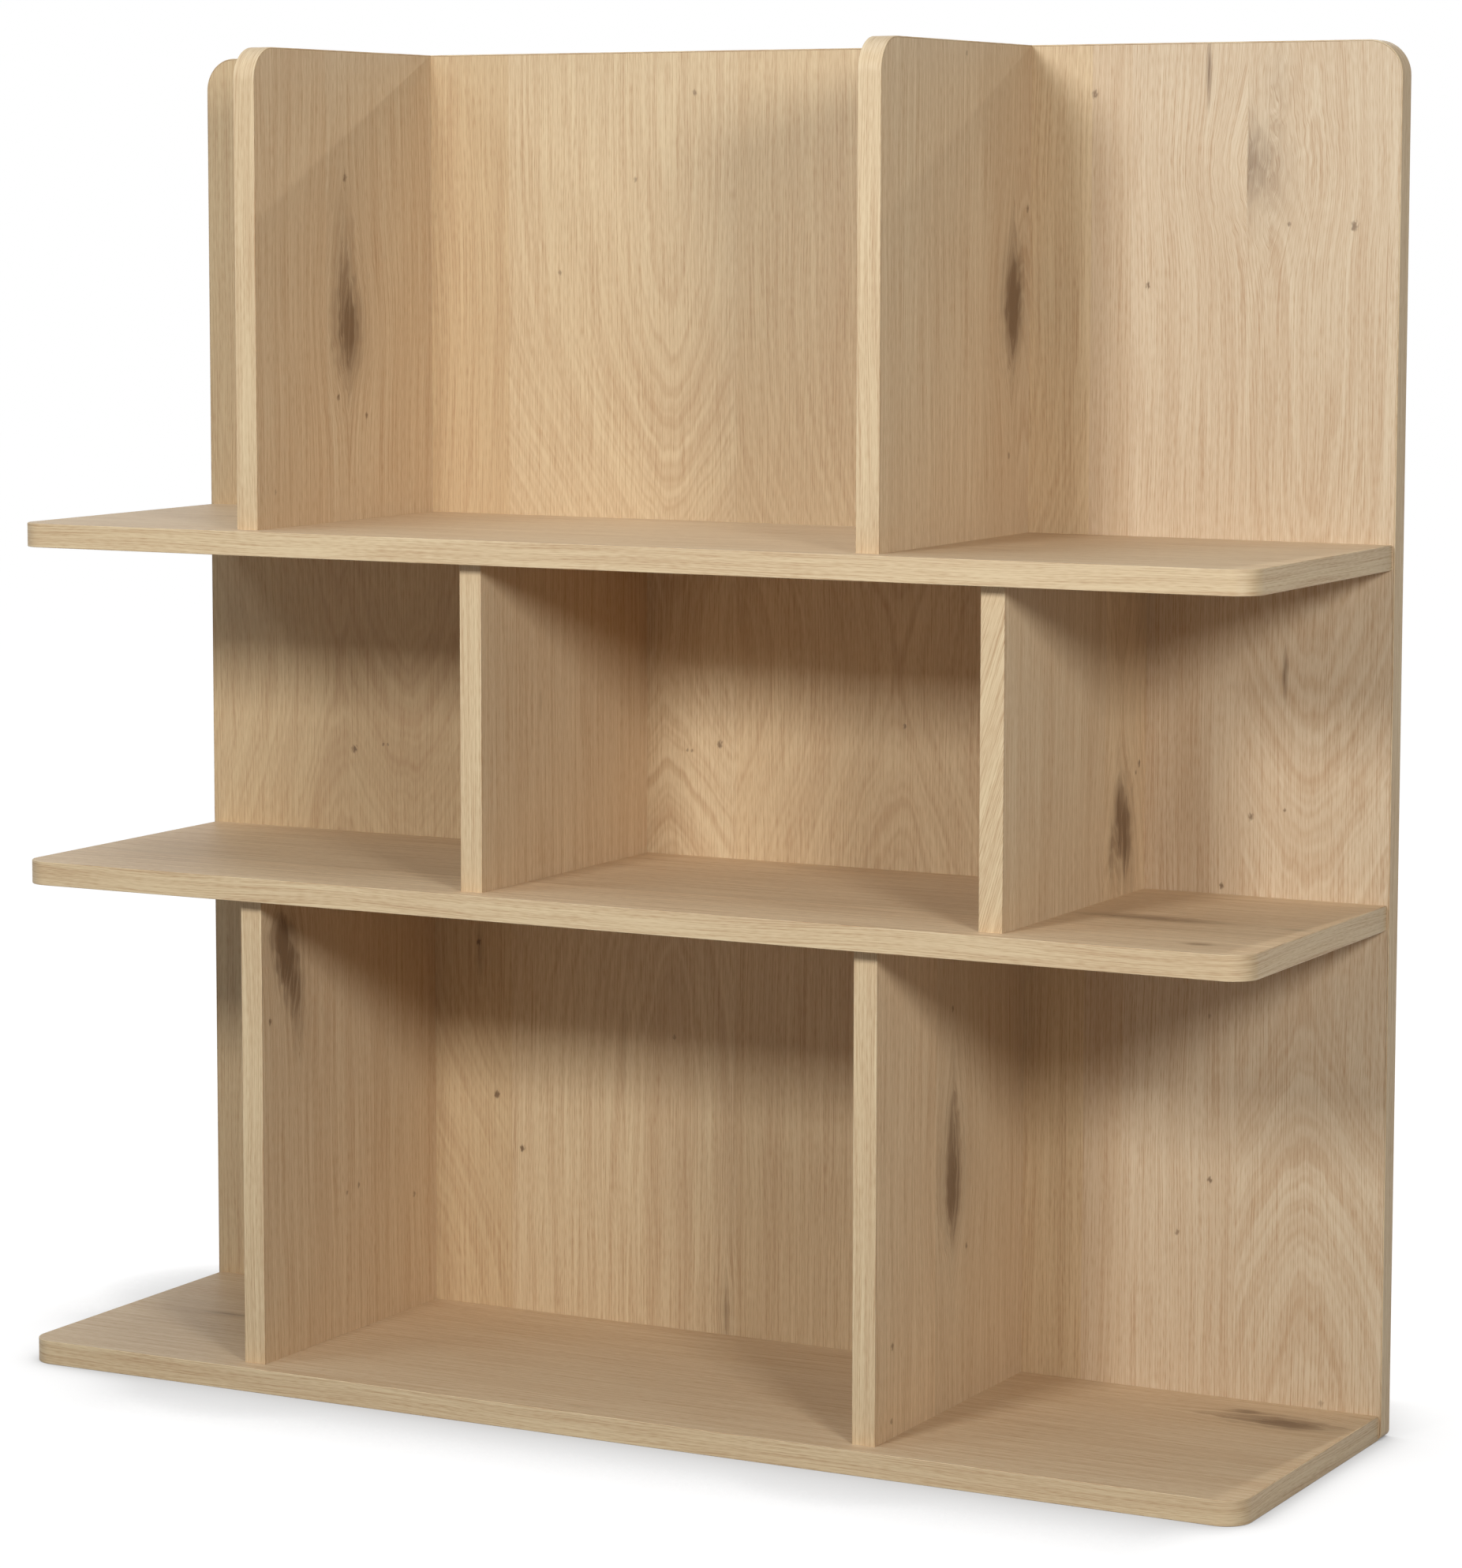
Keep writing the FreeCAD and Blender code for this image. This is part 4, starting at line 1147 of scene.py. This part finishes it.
# Studio lamps of a slightly cool white: a key from the front and above, one from the right, a weak one
# from the left, broad soft ones overhead and behind, and a small one from behind and above that skims
# the dividers and the shelves' right ends.
LAMP_WHITE = (0.935, 1.01, 1.08)
COOL_WHITE = (0.845, 1.01, 1.18)


def add_lamp(name, place, target, size, power, colour=LAMP_WHITE):
    """A square lamp that faces its target."""
    lamp = bpy.data.lights.new(name, "AREA")
    lamp.shape = "SQUARE"
    lamp.size = size
    lamp.energy = power
    lamp.color = colour
    holder = bpy.data.objects.new(name, lamp)
    bpy.context.scene.collection.objects.link(holder)
    holder.location = place
    holder.visible_camera = False
    holder.rotation_euler = (Vector(target) - Vector(place)).to_track_quat("-Z", "Y").to_euler()
    return holder


add_lamp("key", (-0.25, -2.1, 1.5), (0, 0, 0.5), 0.4, 28)
add_lamp("side", (2.1, -1.9, 1.4), (0, 0, 0.5), 0.5, 42)
add_lamp("left", (-1.7, -1.8, 2.2), (0, 0, 0.4), 0.5, 8, COOL_WHITE)
add_lamp("overhead", (-0.6, -0.3, 2.8), (0, 0, 0.5), 1.2, 18, COOL_WHITE)
add_lamp("back", (-0.6, 2.8, 1.1), (0, 0, 0.5), 1.2, 22)
rim_lamp = add_lamp("rim", (0.76, 3.1, 2.5), (0, 0, 0.5), 0.12, 45)
rim_lamp.visible_glossy = False


# Camera: a long lens at the height of the top dividers, from the front right. Its axis meets the picture,
# which is measured in pixels, a little left of the middle and above it.
IMAGE_WIDTH = 1853
IMAGE_HEIGHT = 1988
AXIS_FROM_LEFT = 843
AXIS_FROM_TOP = 917
FOCAL_PIXELS = 6105.3
SENSOR = 24.0
EYE_PLACE = (1.6609, -3.103, 0.8851)
EYE_TILT = math.radians(83.85)
EYE_TURN = math.radians(28.42)
eye = bpy.data.cameras.new("camera")
eye.sensor_fit = "VERTICAL"
eye.sensor_height = SENSOR
eye.lens = FOCAL_PIXELS / IMAGE_HEIGHT * SENSOR
eye.shift_x = (IMAGE_WIDTH / 2 - AXIS_FROM_LEFT) / IMAGE_HEIGHT
eye.shift_y = (AXIS_FROM_TOP - IMAGE_HEIGHT / 2) / IMAGE_HEIGHT
camera = bpy.data.objects.new("camera", eye)
bpy.context.scene.collection.objects.link(camera)
camera.location = EYE_PLACE
camera.rotation_euler = (EYE_TILT, 0, EYE_TURN)
bpy.context.scene.camera = camera
bpy.context.scene.view_settings.view_transform = "Standard"
